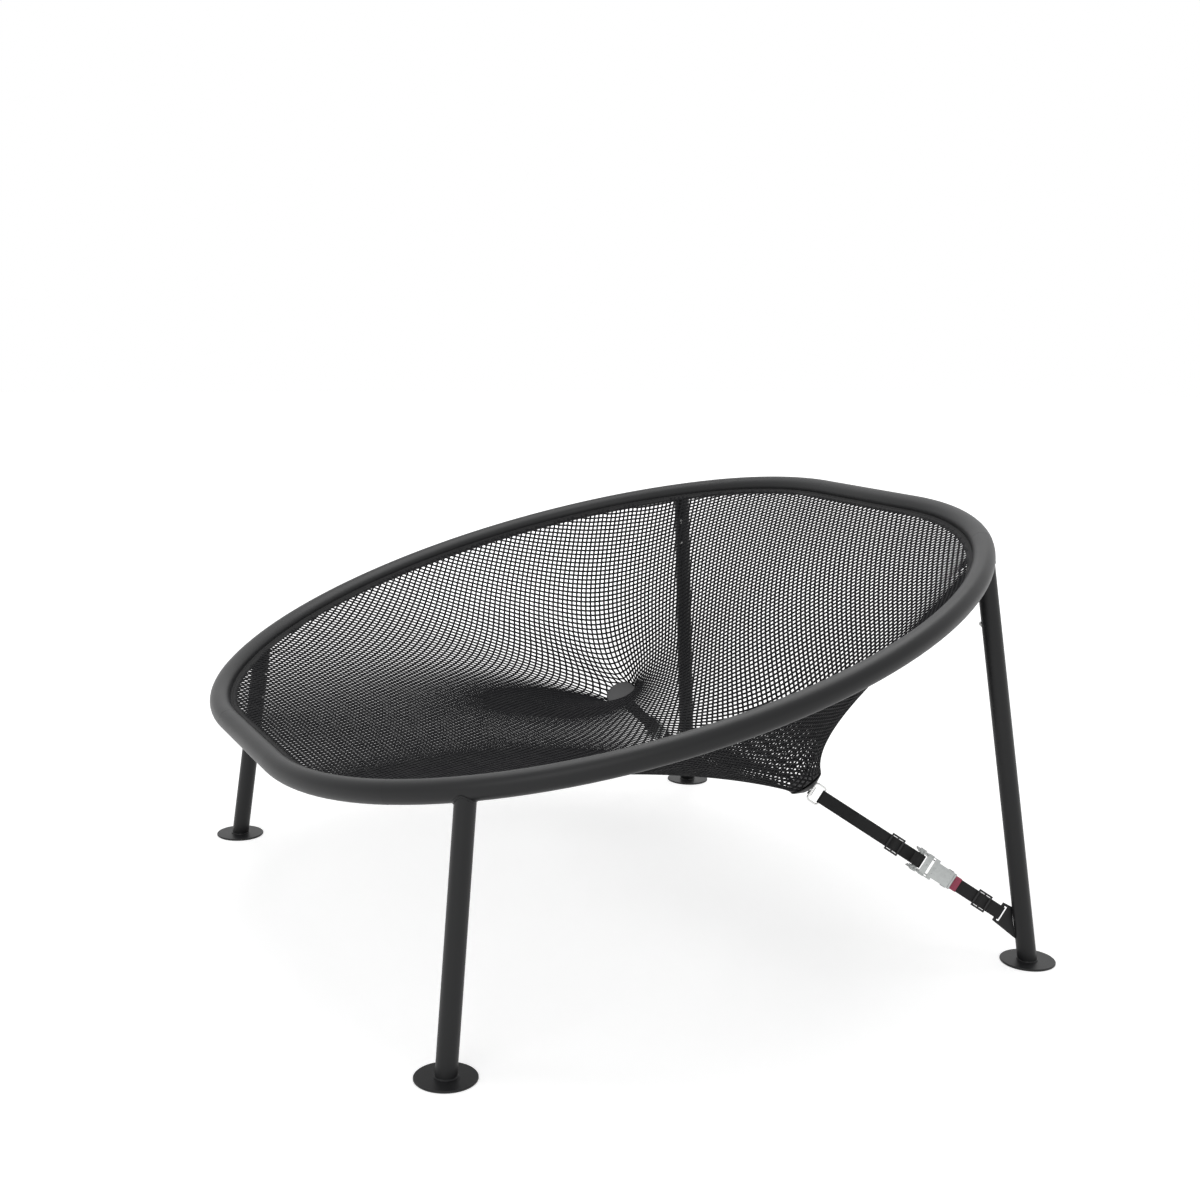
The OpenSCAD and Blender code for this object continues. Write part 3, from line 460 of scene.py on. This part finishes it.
# lines of (point, share of the radius), in metres
def cordMesh(name, lines, radius, rounding=0, closed=False):
    curve = bpy.data.curves.new(name, "CURVE")
    curve.dimensions = "3D"
    curve.bevel_depth = radius
    curve.bevel_resolution = rounding
    curve.use_fill_caps = not closed
    for line in lines:
        spline = curve.splines.new("POLY")
        spline.points.add(len(line) - 1)
        spline.points.foreach_set("co", [value for point, share in line for value in (*point, 1)])
        spline.points.foreach_set("radius", [share for point, share in line])
        spline.use_cyclic_u = closed
    holder = bpy.data.objects.new(name, curve)
    bpy.context.scene.collection.objects.link(holder)
    bpy.context.view_layer.update()
    mesh = bpy.data.meshes.new_from_object(holder.evaluated_get(bpy.context.evaluated_depsgraph_get()))
    bpy.data.objects.remove(holder)
    bm = bmesh.new()
    bm.from_mesh(mesh)
    bmesh.ops.remove_doubles(bm, verts=bm.verts, dist=1e-6)  # joins each end cap to its cord
    bm.to_mesh(mesh)
    bm.free()
    return mesh


def spunMesh(name, profile, place, steps=72):  # profile of (distance along X, radius), closed on the axis
    bm = bmesh.new()
    verts = [bm.verts.new((x, radius, 0)) for x, radius in profile]
    for first, second in zip(verts, verts[1:]):
        bm.edges.new((first, second))
    bmesh.ops.spin(bm, geom=bm.verts[:] + bm.edges[:], axis=(1, 0, 0), cent=(0, 0, 0),
                   angle=math.tau, steps=steps, use_merge=True)
    bmesh.ops.remove_doubles(bm, verts=bm.verts, dist=1e-4)
    bmesh.ops.recalc_face_normals(bm, faces=bm.faces)
    return meshFrom(name, bm, place)


def gridMesh(rows):  # a grid with its points given row by row, and its points in that order
    bm = bmesh.new()
    bmesh.ops.create_grid(bm, x_segments=len(rows[0]) - 1, y_segments=len(rows) - 1, size=0.5)
    order = sorted(bm.verts, key=lambda vert: (round(vert.co.y * 1e5), vert.co.x))
    for vert, point in zip(order, [point for row in rows for point in row]):
        vert.co = point
    return bm, order


def bandMesh(rows, scale=1.0, closed=False):  # a band of rows along it; the map "weave" holds millimetres
    bm, order = gridMesh(rows)
    marks, along, middle = {}, 0, len(rows[0]) // 2
    for k, row in enumerate(rows):
        along += (row[middle] - rows[k - 1][middle]).length * scale if k else 0
        for i, point in enumerate(row):
            marks[order[k * len(row) + i]] = ((point - row[0]).length * scale, along)
    weave = bm.loops.layers.uv.new("weave")
    for face in bm.faces:
        for loop in face.loops:
            loop[weave].uv = marks[loop.vert]
    if closed:
        bmesh.ops.remove_doubles(bm, verts=bm.verts, dist=1e-5)
    return bm


def thicken(obj, thick, offset=0.0, edge=0.0, even=True):
    solid = obj.modifiers.new("thick", "SOLIDIFY")
    solid.thickness, solid.offset, solid.use_even_offset = thick * mm, offset, even
    if edge:
        soft = obj.modifiers.new("edge", "BEVEL")
        soft.width, soft.segments, soft.limit_method = edge * mm, 2, "ANGLE"
        soft.angle_limit, soft.harden_normals = math.radians(50), True
    return obj


def softened(node, width):  # a copy of a CAD node with its corners rounded
    bm = bmesh.new()
    bm.from_mesh(nodes[node].data)
    bmesh.ops.remove_doubles(bm, verts=bm.verts, dist=2e-6)
    bmesh.ops.dissolve_limit(bm, angle_limit=math.radians(0.6), verts=bm.verts, edges=bm.edges)
    edges = [edge for edge in bm.edges if len(edge.link_faces) == 2
             and abs(edge.calc_face_angle(0)) > math.radians(30)]
    bmesh.ops.bevel(bm, geom=edges, offset=width * mm, offset_type="OFFSET", affect="EDGES",
                    segments=2, profile=0.5, material=-1, clamp_overlap=True)
    name = node + "_finished"
    addPiece(name, meshFrom(name, bm), nodes[node]["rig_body"], slotOf[node], (node,))


slotOf = {entry["node"]: entry["material_slot"] for entry in frame["record"]["subparts"]}
for name, obj in nodes.items():
    obj.data.materials.clear()
    obj.data.materials.append(looks[slotLooks[slotOf[name]]])
print("CAD nodes finished")


# the net's flat cords run corner to corner across the cloth; it hangs as springs held at the rim and discs
net = {
    "pitch": 10.6, "wide": 3.8, "thick": 1.75,
    "reach": 850,  # half of the square cloth that is cut to the rim
    "slack": 1.03,  # resting length of a cord, as a share of its flat length
    "held": (335, 75), "disc": 35,  # where the right button holds the flat cloth, and its radius
    "dent": 420,  # reach of the first guess round each button
    "stiff": 8.0, "shear": 0.3, "push": 0.02,  # push and shear are shares of a cord's pull
    "steps": 1000, "pace": 0.4, "carry": 0.985,
    "edge": 2,  # how far in from the rim the outermost knots lie
    "side": 0.76,  # of one quarter of the flat cloth, in metres
}
# the hem: a woven band from the ring's groove inward, with two lines of stitches on its upper face
hem = {
    "wide": 12, "tuck": 1.4, "thick": 2.4, "corner": 0.5,
    "lookIn": 45,  # how far in the net's slope is taken
    "columns": 384, "rows": 6,
    "stitchRows": (3, 10), "stitchStep": 4.6, "stitchLong": 2.6, "thread": 0.45,
    "threadLift": 0.1, "threadTip": 0.6,
}
rimTurns = np.radians(np.arange(0, 360.5, 0.5))


def edgeReach(angle):
    far, out = rimAt(angle)
    return far - ring["edge"] / Vector((math.cos(angle), math.sin(angle))).dot(out)


rimReach = np.array([edgeReach(angle) for angle in rimTurns])


def reachTo(u, v):
    return np.interp(np.arctan2(v, u) % math.tau, rimTurns, rimReach)


def discTurn():  # from the flat cloth to the plane between button and cup, in the ring's frame
    lean = tilt.transposed() @ pullOut
    return np.array(Vector((0, 0, -1)).rotation_difference(lean).to_matrix())


def rimSprings(u, v, inside):  # the cord ends between the last knots and the rim
    found = []
    for di, dj in ((1, 0), (-1, 0), (0, 1), (0, -1)):
        last = inside & ~np.roll(inside, (-di, -dj), (0, 1))
        du, dv = (di + dj) * net["pitch"] / math.sqrt(2), (di - dj) * net["pitch"] / math.sqrt(2)
        low, high = np.zeros(last.sum()), np.ones(last.sum())
        for _ in range(16):
            mid = (low + high) / 2
            x, y = u[last] + du * mid, v[last] + dv * mid
            out = np.hypot(x, y) >= reachTo(x, y)
            low, high = np.where(out, low, mid), np.where(out, mid, high)
        end = np.stack([u[last] + du * low, v[last] + dv * low, np.full(len(low), edgeDown)], 1)
        found.append((last, end, np.maximum(low * net["pitch"], 1) * net["slack"]))
    return found


def relaxNet():
    pitch, slack = net["pitch"], net["slack"]
    half = int(net["reach"] / pitch)
    line = (np.arange(2 * half) - half + 0.5) * pitch
    a, b = np.meshgrid(line, line, indexing="ij")
    u, v = (a + b) / math.sqrt(2), (a - b) / math.sqrt(2)
    inside = reachTo(u, v) - np.hypot(u, v) > pitch / 2
    knots = np.stack([u, v, np.full(u.shape, edgeDown)], -1)
    free = inside.copy()
    heldU, heldV = net["held"]
    place = np.array(pulls["place"], float)
    turned = discTurn()
    for sign in (1, -1):
        share = np.clip(1 - np.hypot(u - sign * heldU, v - heldV) / net["dent"], 0, 1)[..., None]
        knots += share * (place - (heldU, heldV, 0)) * (sign, 1, 1)
    for sign in (1, -1):
        disc = np.hypot(u - sign * heldU, v - heldV) < net["disc"]
        away = np.stack([sign * (u[disc] - sign * heldU), v[disc] - heldV, np.zeros(disc.sum())], 1)
        knots[disc] = (away @ turned.T + place) * (sign, 1, 1)
        free &= ~disc
    springs = []
    every, low, high = slice(None), slice(None, -1), slice(1, None)
    cords = (((low, every), (high, every), 1, 1), ((every, low), (every, high), 1, 1),
             ((low, low), (high, high), math.sqrt(2), net["shear"]),
             ((high, low), (low, high), math.sqrt(2), net["shear"]))
    for first, second, long, stiff in cords:
        both = (inside[first] & inside[second]) * stiff * net["stiff"]
        springs.append((first, second, both, long * pitch * slack))
    ends = rimSprings(u, v, inside)

    def pull(gap, rest, stiff):
        size = np.maximum(np.linalg.norm(gap, axis=-1), 1e-6)
        strain = size / rest - 1
        return (stiff * np.where(strain > 0, strain, net["push"] * strain) / size)[..., None] * gap

    speed = np.zeros_like(knots)
    for _ in range(net["steps"]):
        force = np.zeros_like(knots)
        for first, second, stiff, rest in springs:
            step = pull(knots[second] - knots[first], rest, stiff)
            force[first] += step
            force[second] -= step
        for last, end, rest in ends:
            force[last] += pull(end - knots[last], rest, net["stiff"])
        speed = (speed * net["carry"] + force * net["pace"]) * free[..., None]
        knots = knots + speed * net["pace"]
    print("net relaxed, residual", round(float(np.abs(force[free]).max()), 4))
    return knots, inside, np.arctan2(v, u), half


knots, shown, turns, halfCount = relaxNet()


def clothAt(u, v):  # a point of the flat cloth, as a point of the hanging net in the ring's frame
    x = (u + v) / math.sqrt(2) / net["pitch"] + halfCount - 0.5
    y = (u - v) / math.sqrt(2) / net["pitch"] + halfCount - 0.5
    i, j = int(x), int(y)
    x, y = x - i, y - j
    return Vector((1 - x) * (1 - y) * knots[i, j] + x * (1 - y) * knots[i + 1, j]
                  + (1 - x) * y * knots[i, j + 1] + x * y * knots[i + 1, j + 1])


def hemRay(angle):  # a point of the net's outer edge, the way inward along the net, and the normal
    far, out = rimAt(angle)
    start = Vector((far * math.cos(angle) - edgeIn * out.x, far * math.sin(angle) - edgeIn * out.y, edgeDown))
    inner = clothAt(start.x - out.x * hem["lookIn"], start.y - out.y * hem["lookIn"])
    inward = (inner - start).normalized()
    return start, inward, inward.cross(Vector((-out.y, out.x, 0))).normalized()


def makeNet():
    known = shown.copy()
    for di in (-1, 0, 1):
        for dj in (-1, 0, 1):
            known |= np.roll(shown, (di, dj), (0, 1))
    for i, j in np.argwhere(known & ~shown):  # the outermost knots lie under the hem
        start, inward, _ = hemRay(turns[i, j])
        knots[i, j] = start + inward * net["edge"]
    world = (knots @ np.array(tilt).T + (0, 0, ring["middle"])) * mm
    halves = {1: range(halfCount - 1, 2 * halfCount), -1: range(0, halfCount)}
    pieces = []
    quarters = ((1, 1, "net_right"), (-1, -1, "net_left"), (1, -1, "net_back"), (-1, 1, "net_front"))
    for si, sj, name in quarters:
        places = [[(i, j) for i in halves[si]] for j in halves[sj]]
        bm, order = gridMesh([[Vector(world[i, j]) for i, j in row] for row in places])
        placeOf = dict(zip(order, [place for row in places for place in row]))
        spare = [face for face in bm.faces if not all(known[placeOf[vert]] for vert in face.verts)
                 or not any(shown[placeOf[vert]] for vert in face.verts)]
        bmesh.ops.delete(bm, geom=spare, context="FACES")
        cells = bm.faces[:]
        bmesh.ops.recalc_face_normals(bm, faces=cells)
        bmesh.ops.inset_individual(bm, faces=cells, thickness=net["wide"] / math.sqrt(2) * mm,
                                   use_even_offset=False)
        bmesh.ops.delete(bm, geom=cells, context="FACES")
        area = round(len(cells) * (net["pitch"] * mm) ** 2, 3)
        piece = addPiece(name, meshFrom(name, bm), "frame", "net_cord", ("net",), sharp=180)
        pieces.append((thicken(piece, net["thick"], even=False), area))
        print(name, len(cells), "cells, flat area", area)
    return pieces


for piece, area in makeNet():
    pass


def makeHem():
    rows, columns, wide = [], hem["columns"], hem["wide"] + hem["tuck"]
    for k in range(columns + 1):
        start, inward, _ = hemRay(math.tau * (k % columns) / columns)
        reach = [-hem["tuck"] + wide * i / (hem["rows"] - 1) for i in range(hem["rows"])]
        rows.append([toWorld(start + inward * far) * mm for far in reach])
    mesh = meshFrom("hem_band", bandMesh(rows, 1 / mm, closed=True))
    band = addPiece("hem_band", mesh, "frame", "hem_tape", ("net_hem",))
    thicken(band, hem["thick"], edge=hem["corner"])
    long = sum((second[3] - first[3]).length for first, second in zip(rows, rows[1:]))
    print("hem length", round(long, 3))
    lines = []
    for far in hem["stitchRows"]:
        count = int(long / mm / hem["stitchStep"])
        for k in range(count):
            angle = math.tau * k / count
            start, inward, up = hemRay(angle)
            if up.z < 0:
                up = -up
            mid = start + inward * far + up * (hem["thick"] / 2 + hem["threadLift"])
            along = up.cross(inward) * hem["stitchLong"] / 2
            lines.append([(toWorld(mid + along * step) * mm, share)
                          for step, share in ((-1, hem["threadTip"]), (0, 1), (1, hem["threadTip"]))])
    mesh = cordMesh("hem_stitches", lines, hem["thread"] * mm)
    addPiece("hem_stitches", mesh, "frame", "hem_tape", sharp=180)


makeHem()
print("net and hem ready")


# the straps: webbing in the strap's X and Z, with its sewn ends and the roll on the spool
web = {
    "wide": 25, "thick": 1.6, "columns": 5, "corner": 0.35,
    "upper": 202, "lower": 388, "beforeSlider": 22.5, "wave": 2.3,  # the sliders, and how far it dips there
    "loop": (43.5, 0), "loopRound": 3.1, "sewn": 119, "under": -1.65,  # the upper end, sewn back on itself
    "clearOfBar": 12,
    "spool": (250, 12.35), "rollOut": 10.45, "rollStep": 2.1, "turns": 1.5, "rollPoints": 40,
    "bolt": (314, 2.0), "boltRound": 5.1, "lap": 2.0, "lapTo": (322.5, 352.5),  # the lower end, doubled
    "tabSlot": 429.91,
    "throughTab": ((-12, 2.6), (-0.6, 2.6), (0.4, -2.6), (-12, -3.2)),  # from the slot
    "tail": (16.5, -5.0),  # from the lower slider
}
thread = {"radius": 0.4, "tip": 0.6, "step": 3.2, "from": 0.15, "to": 0.8, "high": 0.95, "margin": 3,
          "boxes": ((64, 86), (92, 114))}


def woundLine(at, radius, start, stop, steps):  # round a bar, tangent to the runs from start and to stop
    def leave(point, side):
        dx, dz = point[0] - at[0], point[1] - at[1]
        return math.atan2(dz, dx) + side * math.acos(radius / math.hypot(dx, dz))
    first, last = math.tau + leave(start, -1), leave(stop, 1)
    turns = [first + (last - first) * i / steps for i in range(steps + 1)]
    return [(at[0] + radius * math.cos(a), at[1] + radius * math.sin(a)) for a in turns]


def waveLine(x, lift=0):
    wave = web["wave"]
    steps = ((-19.3, 0), (-14.3, -wave), (-9.7, -wave), (-2.3, wave),
             (2.3, wave), (9.7, -wave), (14.3, -wave), (19.3, 0))
    return [(x + dx, dz + lift) for dx, dz in steps]


def eased(line, rounds=2):  # cuts the corners, keeps both ends
    for _ in range(rounds):
        cut = [line[0]]
        for (x0, z0), (x1, z1) in zip(line, line[1:]):
            cut += [(a * x0 + b * x1, a * z0 + b * z1) for a, b in ((0.75, 0.25), (0.25, 0.75))]
        line = cut + [line[-1]]
    return line


def webPiece(name, line, sign, body, replaced):
    place = placed(strapFrom, strapTurn, sign)
    across = [web["wide"] * (i / (web["columns"] - 1) - 0.5) for i in range(web["columns"])]
    rows = [[Vector((x, y, z)) for y in across] for x, z in line]
    mesh = meshFrom(name, bandMesh(rows), place)
    return thicken(addPiece(name, mesh, body, "webbing", replaced, sharp=70), web["thick"],
                   edge=web["corner"])


def makeStitches(name, dashes, sign):
    place = placed(strapFrom, strapTurn, sign)
    tip = thread["tip"]
    lines = [[(place @ Vector(a), tip), (place @ ((Vector(a) + Vector(b)) / 2), 1), (place @ Vector(b), tip)]
             for a, b in dashes]
    addPiece(name, cordMesh(name, lines, thread["radius"] * mm), "frame", "webbing", sharp=180)


def boxStitch(x0, x1):  # a sewn box with a cross in it
    wide, z = web["wide"] / 2 - thread["margin"], thread["high"]
    corners = [(x0, -wide), (x1, -wide), (x1, wide), (x0, wide)]
    runs = list(zip(corners, corners[1:] + corners[:1])) + [corners[0::2], corners[1::2]]
    dashes = []
    for (ax, ay), (bx, by) in runs:
        count = max(2, int(math.dist((ax, ay), (bx, by)) / thread["step"]))
        for k in range(count):
            shares = (k + thread["from"]) / count, (k + thread["to"]) / count
            dashes.append([(ax + (bx - ax) * share, ay + (by - ay) * share, z) for share in shares])
    return dashes


def upperLine():  # sewn end, round the loop, through the slider, to the spool
    clear, under = web["loop"][0] + web["clearOfBar"], web["under"]
    line = [(web["sewn"], under), (clear, under)]
    line += woundLine(web["loop"], web["loopRound"], (clear, under), (clear, 0), 12)
    line += [(clear, 0), (web["upper"] - web["beforeSlider"], 0)] + waveLine(web["upper"])
    return eased(line + [(web["spool"][0], 0)])


def lowerLine():  # doubled round the bolt, through the slider and the tab's slot, and back to the slider
    (start, stop), half = web["lapTo"], web["lap"] / 2
    line = [(stop, -half), (start, -half)]
    line += woundLine(web["bolt"], web["boltRound"], (start, -half), (start, half), 14)
    line += [(start, half), (web["lower"] - web["beforeSlider"], half)] + waveLine(web["lower"], half)
    line += [(web["tabSlot"] + dx, z) for dx, z in web["throughTab"]]
    return eased(line + [(web["lower"] + web["tail"][0], web["tail"][1])])


def rollLine():
    line, points = [], web["rollPoints"]
    for i in range(int(points * web["turns"]) + 1):
        a = -math.pi / 2 - math.tau * i / points
        r = web["rollOut"] - i / points * web["rollStep"]
        line.append((web["spool"][0] + r * math.cos(a), web["spool"][1] + r * math.sin(a)))
    return line


def makeStraps():
    upper, lower, roll = upperLine(), lowerLine(), rollLine()
    dashes = [dash for box in thread["boxes"] for dash in boxStitch(*box)]
    for side, sign in sides.items():
        for part, line, body, held, rests in (
                ("upper_", upper, "frame", "stretched", ("wire_loop_", "slider_upper_")),
                ("lower_", lower, "frame", "stretched", ("fixed_bolt_", "slider_lower_", "strap_tab_")),
                ("roll_", roll, "spool_" + side, "laid", ("spool_",))):
            piece = webPiece("webbing_" + part + side, line, sign, body, ("strap_" + part + side,))
        makeStitches("sewn_upper_" + side, dashes, sign)


makeStraps()


# the bare red band round the doubled webbing; wide and tall are half sizes
label = {"start": 324.5, "long": 14.0, "wide": 12.9, "tall": 2.2, "corner": 1.4, "thick": 0.7,
         "around": 0.058}  # flat length round the webbing, in metres


def makeLabels():
    x, y, corner = label["wide"] - label["corner"], label["tall"] - label["corner"], label["corner"]
    outline = []
    for cx, cz, first in ((x, y, 0), (-x, y, 90), (-x, -y, 180), (x, -y, 270)):
        for i in range(7):
            a = math.radians(first + 15 * i)
            outline.append((cx + corner * math.cos(a), cz + corner * math.sin(a)))
    outline.append(outline[0])
    for side, sign in sides.items():
        along = [label["start"] + label["long"] * i / 6 for i in range(7)]
        rows = [[Vector((x, y, z)) for x in along] for y, z in outline]
        bm = bandMesh(rows, closed=True)
        bmesh.ops.recalc_face_normals(bm, faces=bm.faces)
        mesh = meshFrom("red_band_" + side, bm, placed(strapFrom, strapTurn, sign))
        piece = addPiece("red_band_" + side, mesh, "frame", "label_cloth", ("label_band_" + side,))
        thicken(piece, label["thick"], offset=1.0)


makeLabels()
print("straps ready")


# the button and the cup that hold the net between them, spun about the pull point's axis
grip = {
    "button": 35, "buttonThick": 5, "buttonAt": -1.5,
    "dome": ((0.5, 0), (0.42, 8), (0.2, 18), (0, 27)),  # hollow of the button's face and its radius
    "round": 2.2, "backRound": 0.8,
    "cupWide": 34, "cupEnd": 18, "cupHigh": 12, "cupAt": 1.5, "rimRound": 1.2, "endRound": 1.5, "bore": 4.1,
}


def cornerArc(x, r, radius, start, stop, steps=6):
    turns = [math.radians(start + (stop - start) * i / steps) for i in range(steps + 1)]
    return [(x + radius * math.cos(a), r + radius * math.sin(a)) for a in turns]


def makeGrips():
    back = grip["buttonAt"]
    front = back - grip["buttonThick"]
    wide, soft, small = grip["button"], grip["round"], grip["backRound"]
    button = [(front + x, radius) for x, radius in grip["dome"]]
    button += cornerArc(front + soft, wide - soft, soft, 180, 90)
    button += cornerArc(back - small, wide - small, small, 90, 0, 3) + [(back, 0)]
    near, far = grip["cupAt"], grip["cupAt"] + grip["cupHigh"]
    slope = math.degrees(math.atan2(far - near, grip["cupWide"] - grip["cupEnd"]))
    rim, end, bore = grip["rimRound"], grip["endRound"], grip["bore"]
    cup = [(near, bore), (near, grip["cupWide"] - rim)]
    cup += cornerArc(near + rim, grip["cupWide"] - rim, rim, 180, slope, 5)
    cup += cornerArc(far - end, grip["cupEnd"] - rim, end, slope, 0, 5) + [(far, bore), (near, bore)]
    for side, sign in sides.items():
        place = placed(pullRight, pullTurn, sign)
        for name, profile, node in (("button_face_", button, "button_"), ("cup_face_", cup, "clamp_cup_")):
            addPiece(name + side, spunMesh(name + side, profile, place), "frame", "black_plastic",
                     (node + side,), sharp=50)


loop = {"long": 22, "half": 17.5, "bend": 5, "wire": 2, "steps": 8}  # to the wire's centre line; its radius


def wireLine():  # the loop's wire, in the strap's frame
    x, long, half, bend = pulls["eye"], loop["long"], loop["half"], loop["bend"]
    line = []
    for cx, cy, start in ((x + long - bend, half - bend, 0), (x + bend, half - bend, 90),
                          (x + bend, bend - half, 180), (x + long - bend, bend - half, 270)):
        for i in range(loop["steps"] + 1):
            a = math.radians(start + 90 * i / loop["steps"])
            line.append(Vector((cx + bend * math.cos(a), cy + bend * math.sin(a), 0)))
    return line


def makeLoops():
    for side, sign in sides.items():
        place = placed(strapFrom, strapTurn, sign)
        line = [(place @ point, 1) for point in wireLine()]
        mesh = cordMesh("loop_wire_" + side, [line], loop["wire"] * mm, 5, closed=True)
        addPiece("loop_wire_" + side, mesh, "frame", "stainless", ("wire_loop_" + side,), sharp=180)


makeGrips()
makeLoops()
roundings = {"stud": 0.3, "slider_upper": 0.55, "slider_lower": 0.55, "ratchet_frame": 0.35,
             "fixed_bolt": 0.35, "spool": 0.3, "ratchet_wheels": 0.2, "handle": 0.4, "handle_pawl": 0.3,
             "base_pawl": 0.3, "strap_tab": 0.6}
for side in sides:
    for node, width in roundings.items():
        softened(node + "_" + side, width)
print("pull points and ratchets ready")


# weld beads round the stubs and the feet
weld = {"bead": 2.0, "footBead": 1.8, "ripple": 0.1, "waves": (9, 23), "points": 64}


def makeWelds():
    lines = []
    slow, quick = weld["waves"]
    for kind in ("front", "rear"):
        foot, x, y, up = legFrame(kind)
        top, along = legTop(kind)
        lean = up - along * up.dot(along)
        for sign in sides.values():
            stub, plate = [], []
            for k in range(weld["points"]):
                a = math.tau * k / weld["points"]
                m = (x * math.cos(a) + y * math.sin(a)) * legs["tube"]
                flat = m - along * m.dot(along)
                b, c = flat.dot(lean), flat.dot(flat) - ring["tube"] ** 2
                s = (-b - math.sqrt(max(0, b * b - lean.dot(lean) * c))) / lean.dot(lean)
                share = 1 + weld["ripple"] * (math.sin(slow * a) + 0.5 * math.sin(quick * a + sign))
                for line, point in ((stub, top + m + up * s),
                                    (plate, foot + m + up * ((legs["footThick"] - m.z) / up.z))):
                    line.append((Vector((sign * point.x, point.y, point.z)) * mm, share))
            lines += [(stub, weld["bead"]), (plate, weld["footBead"])]
    for k, (line, bead) in enumerate(lines):
        mesh = cordMesh("weld_bead_%d" % k, [line], bead * mm, 3, closed=True)
        addPiece("weld_bead_%d" % k, mesh, "frame", "tube_coat", sharp=180)


makeWelds()
print("welds ready")
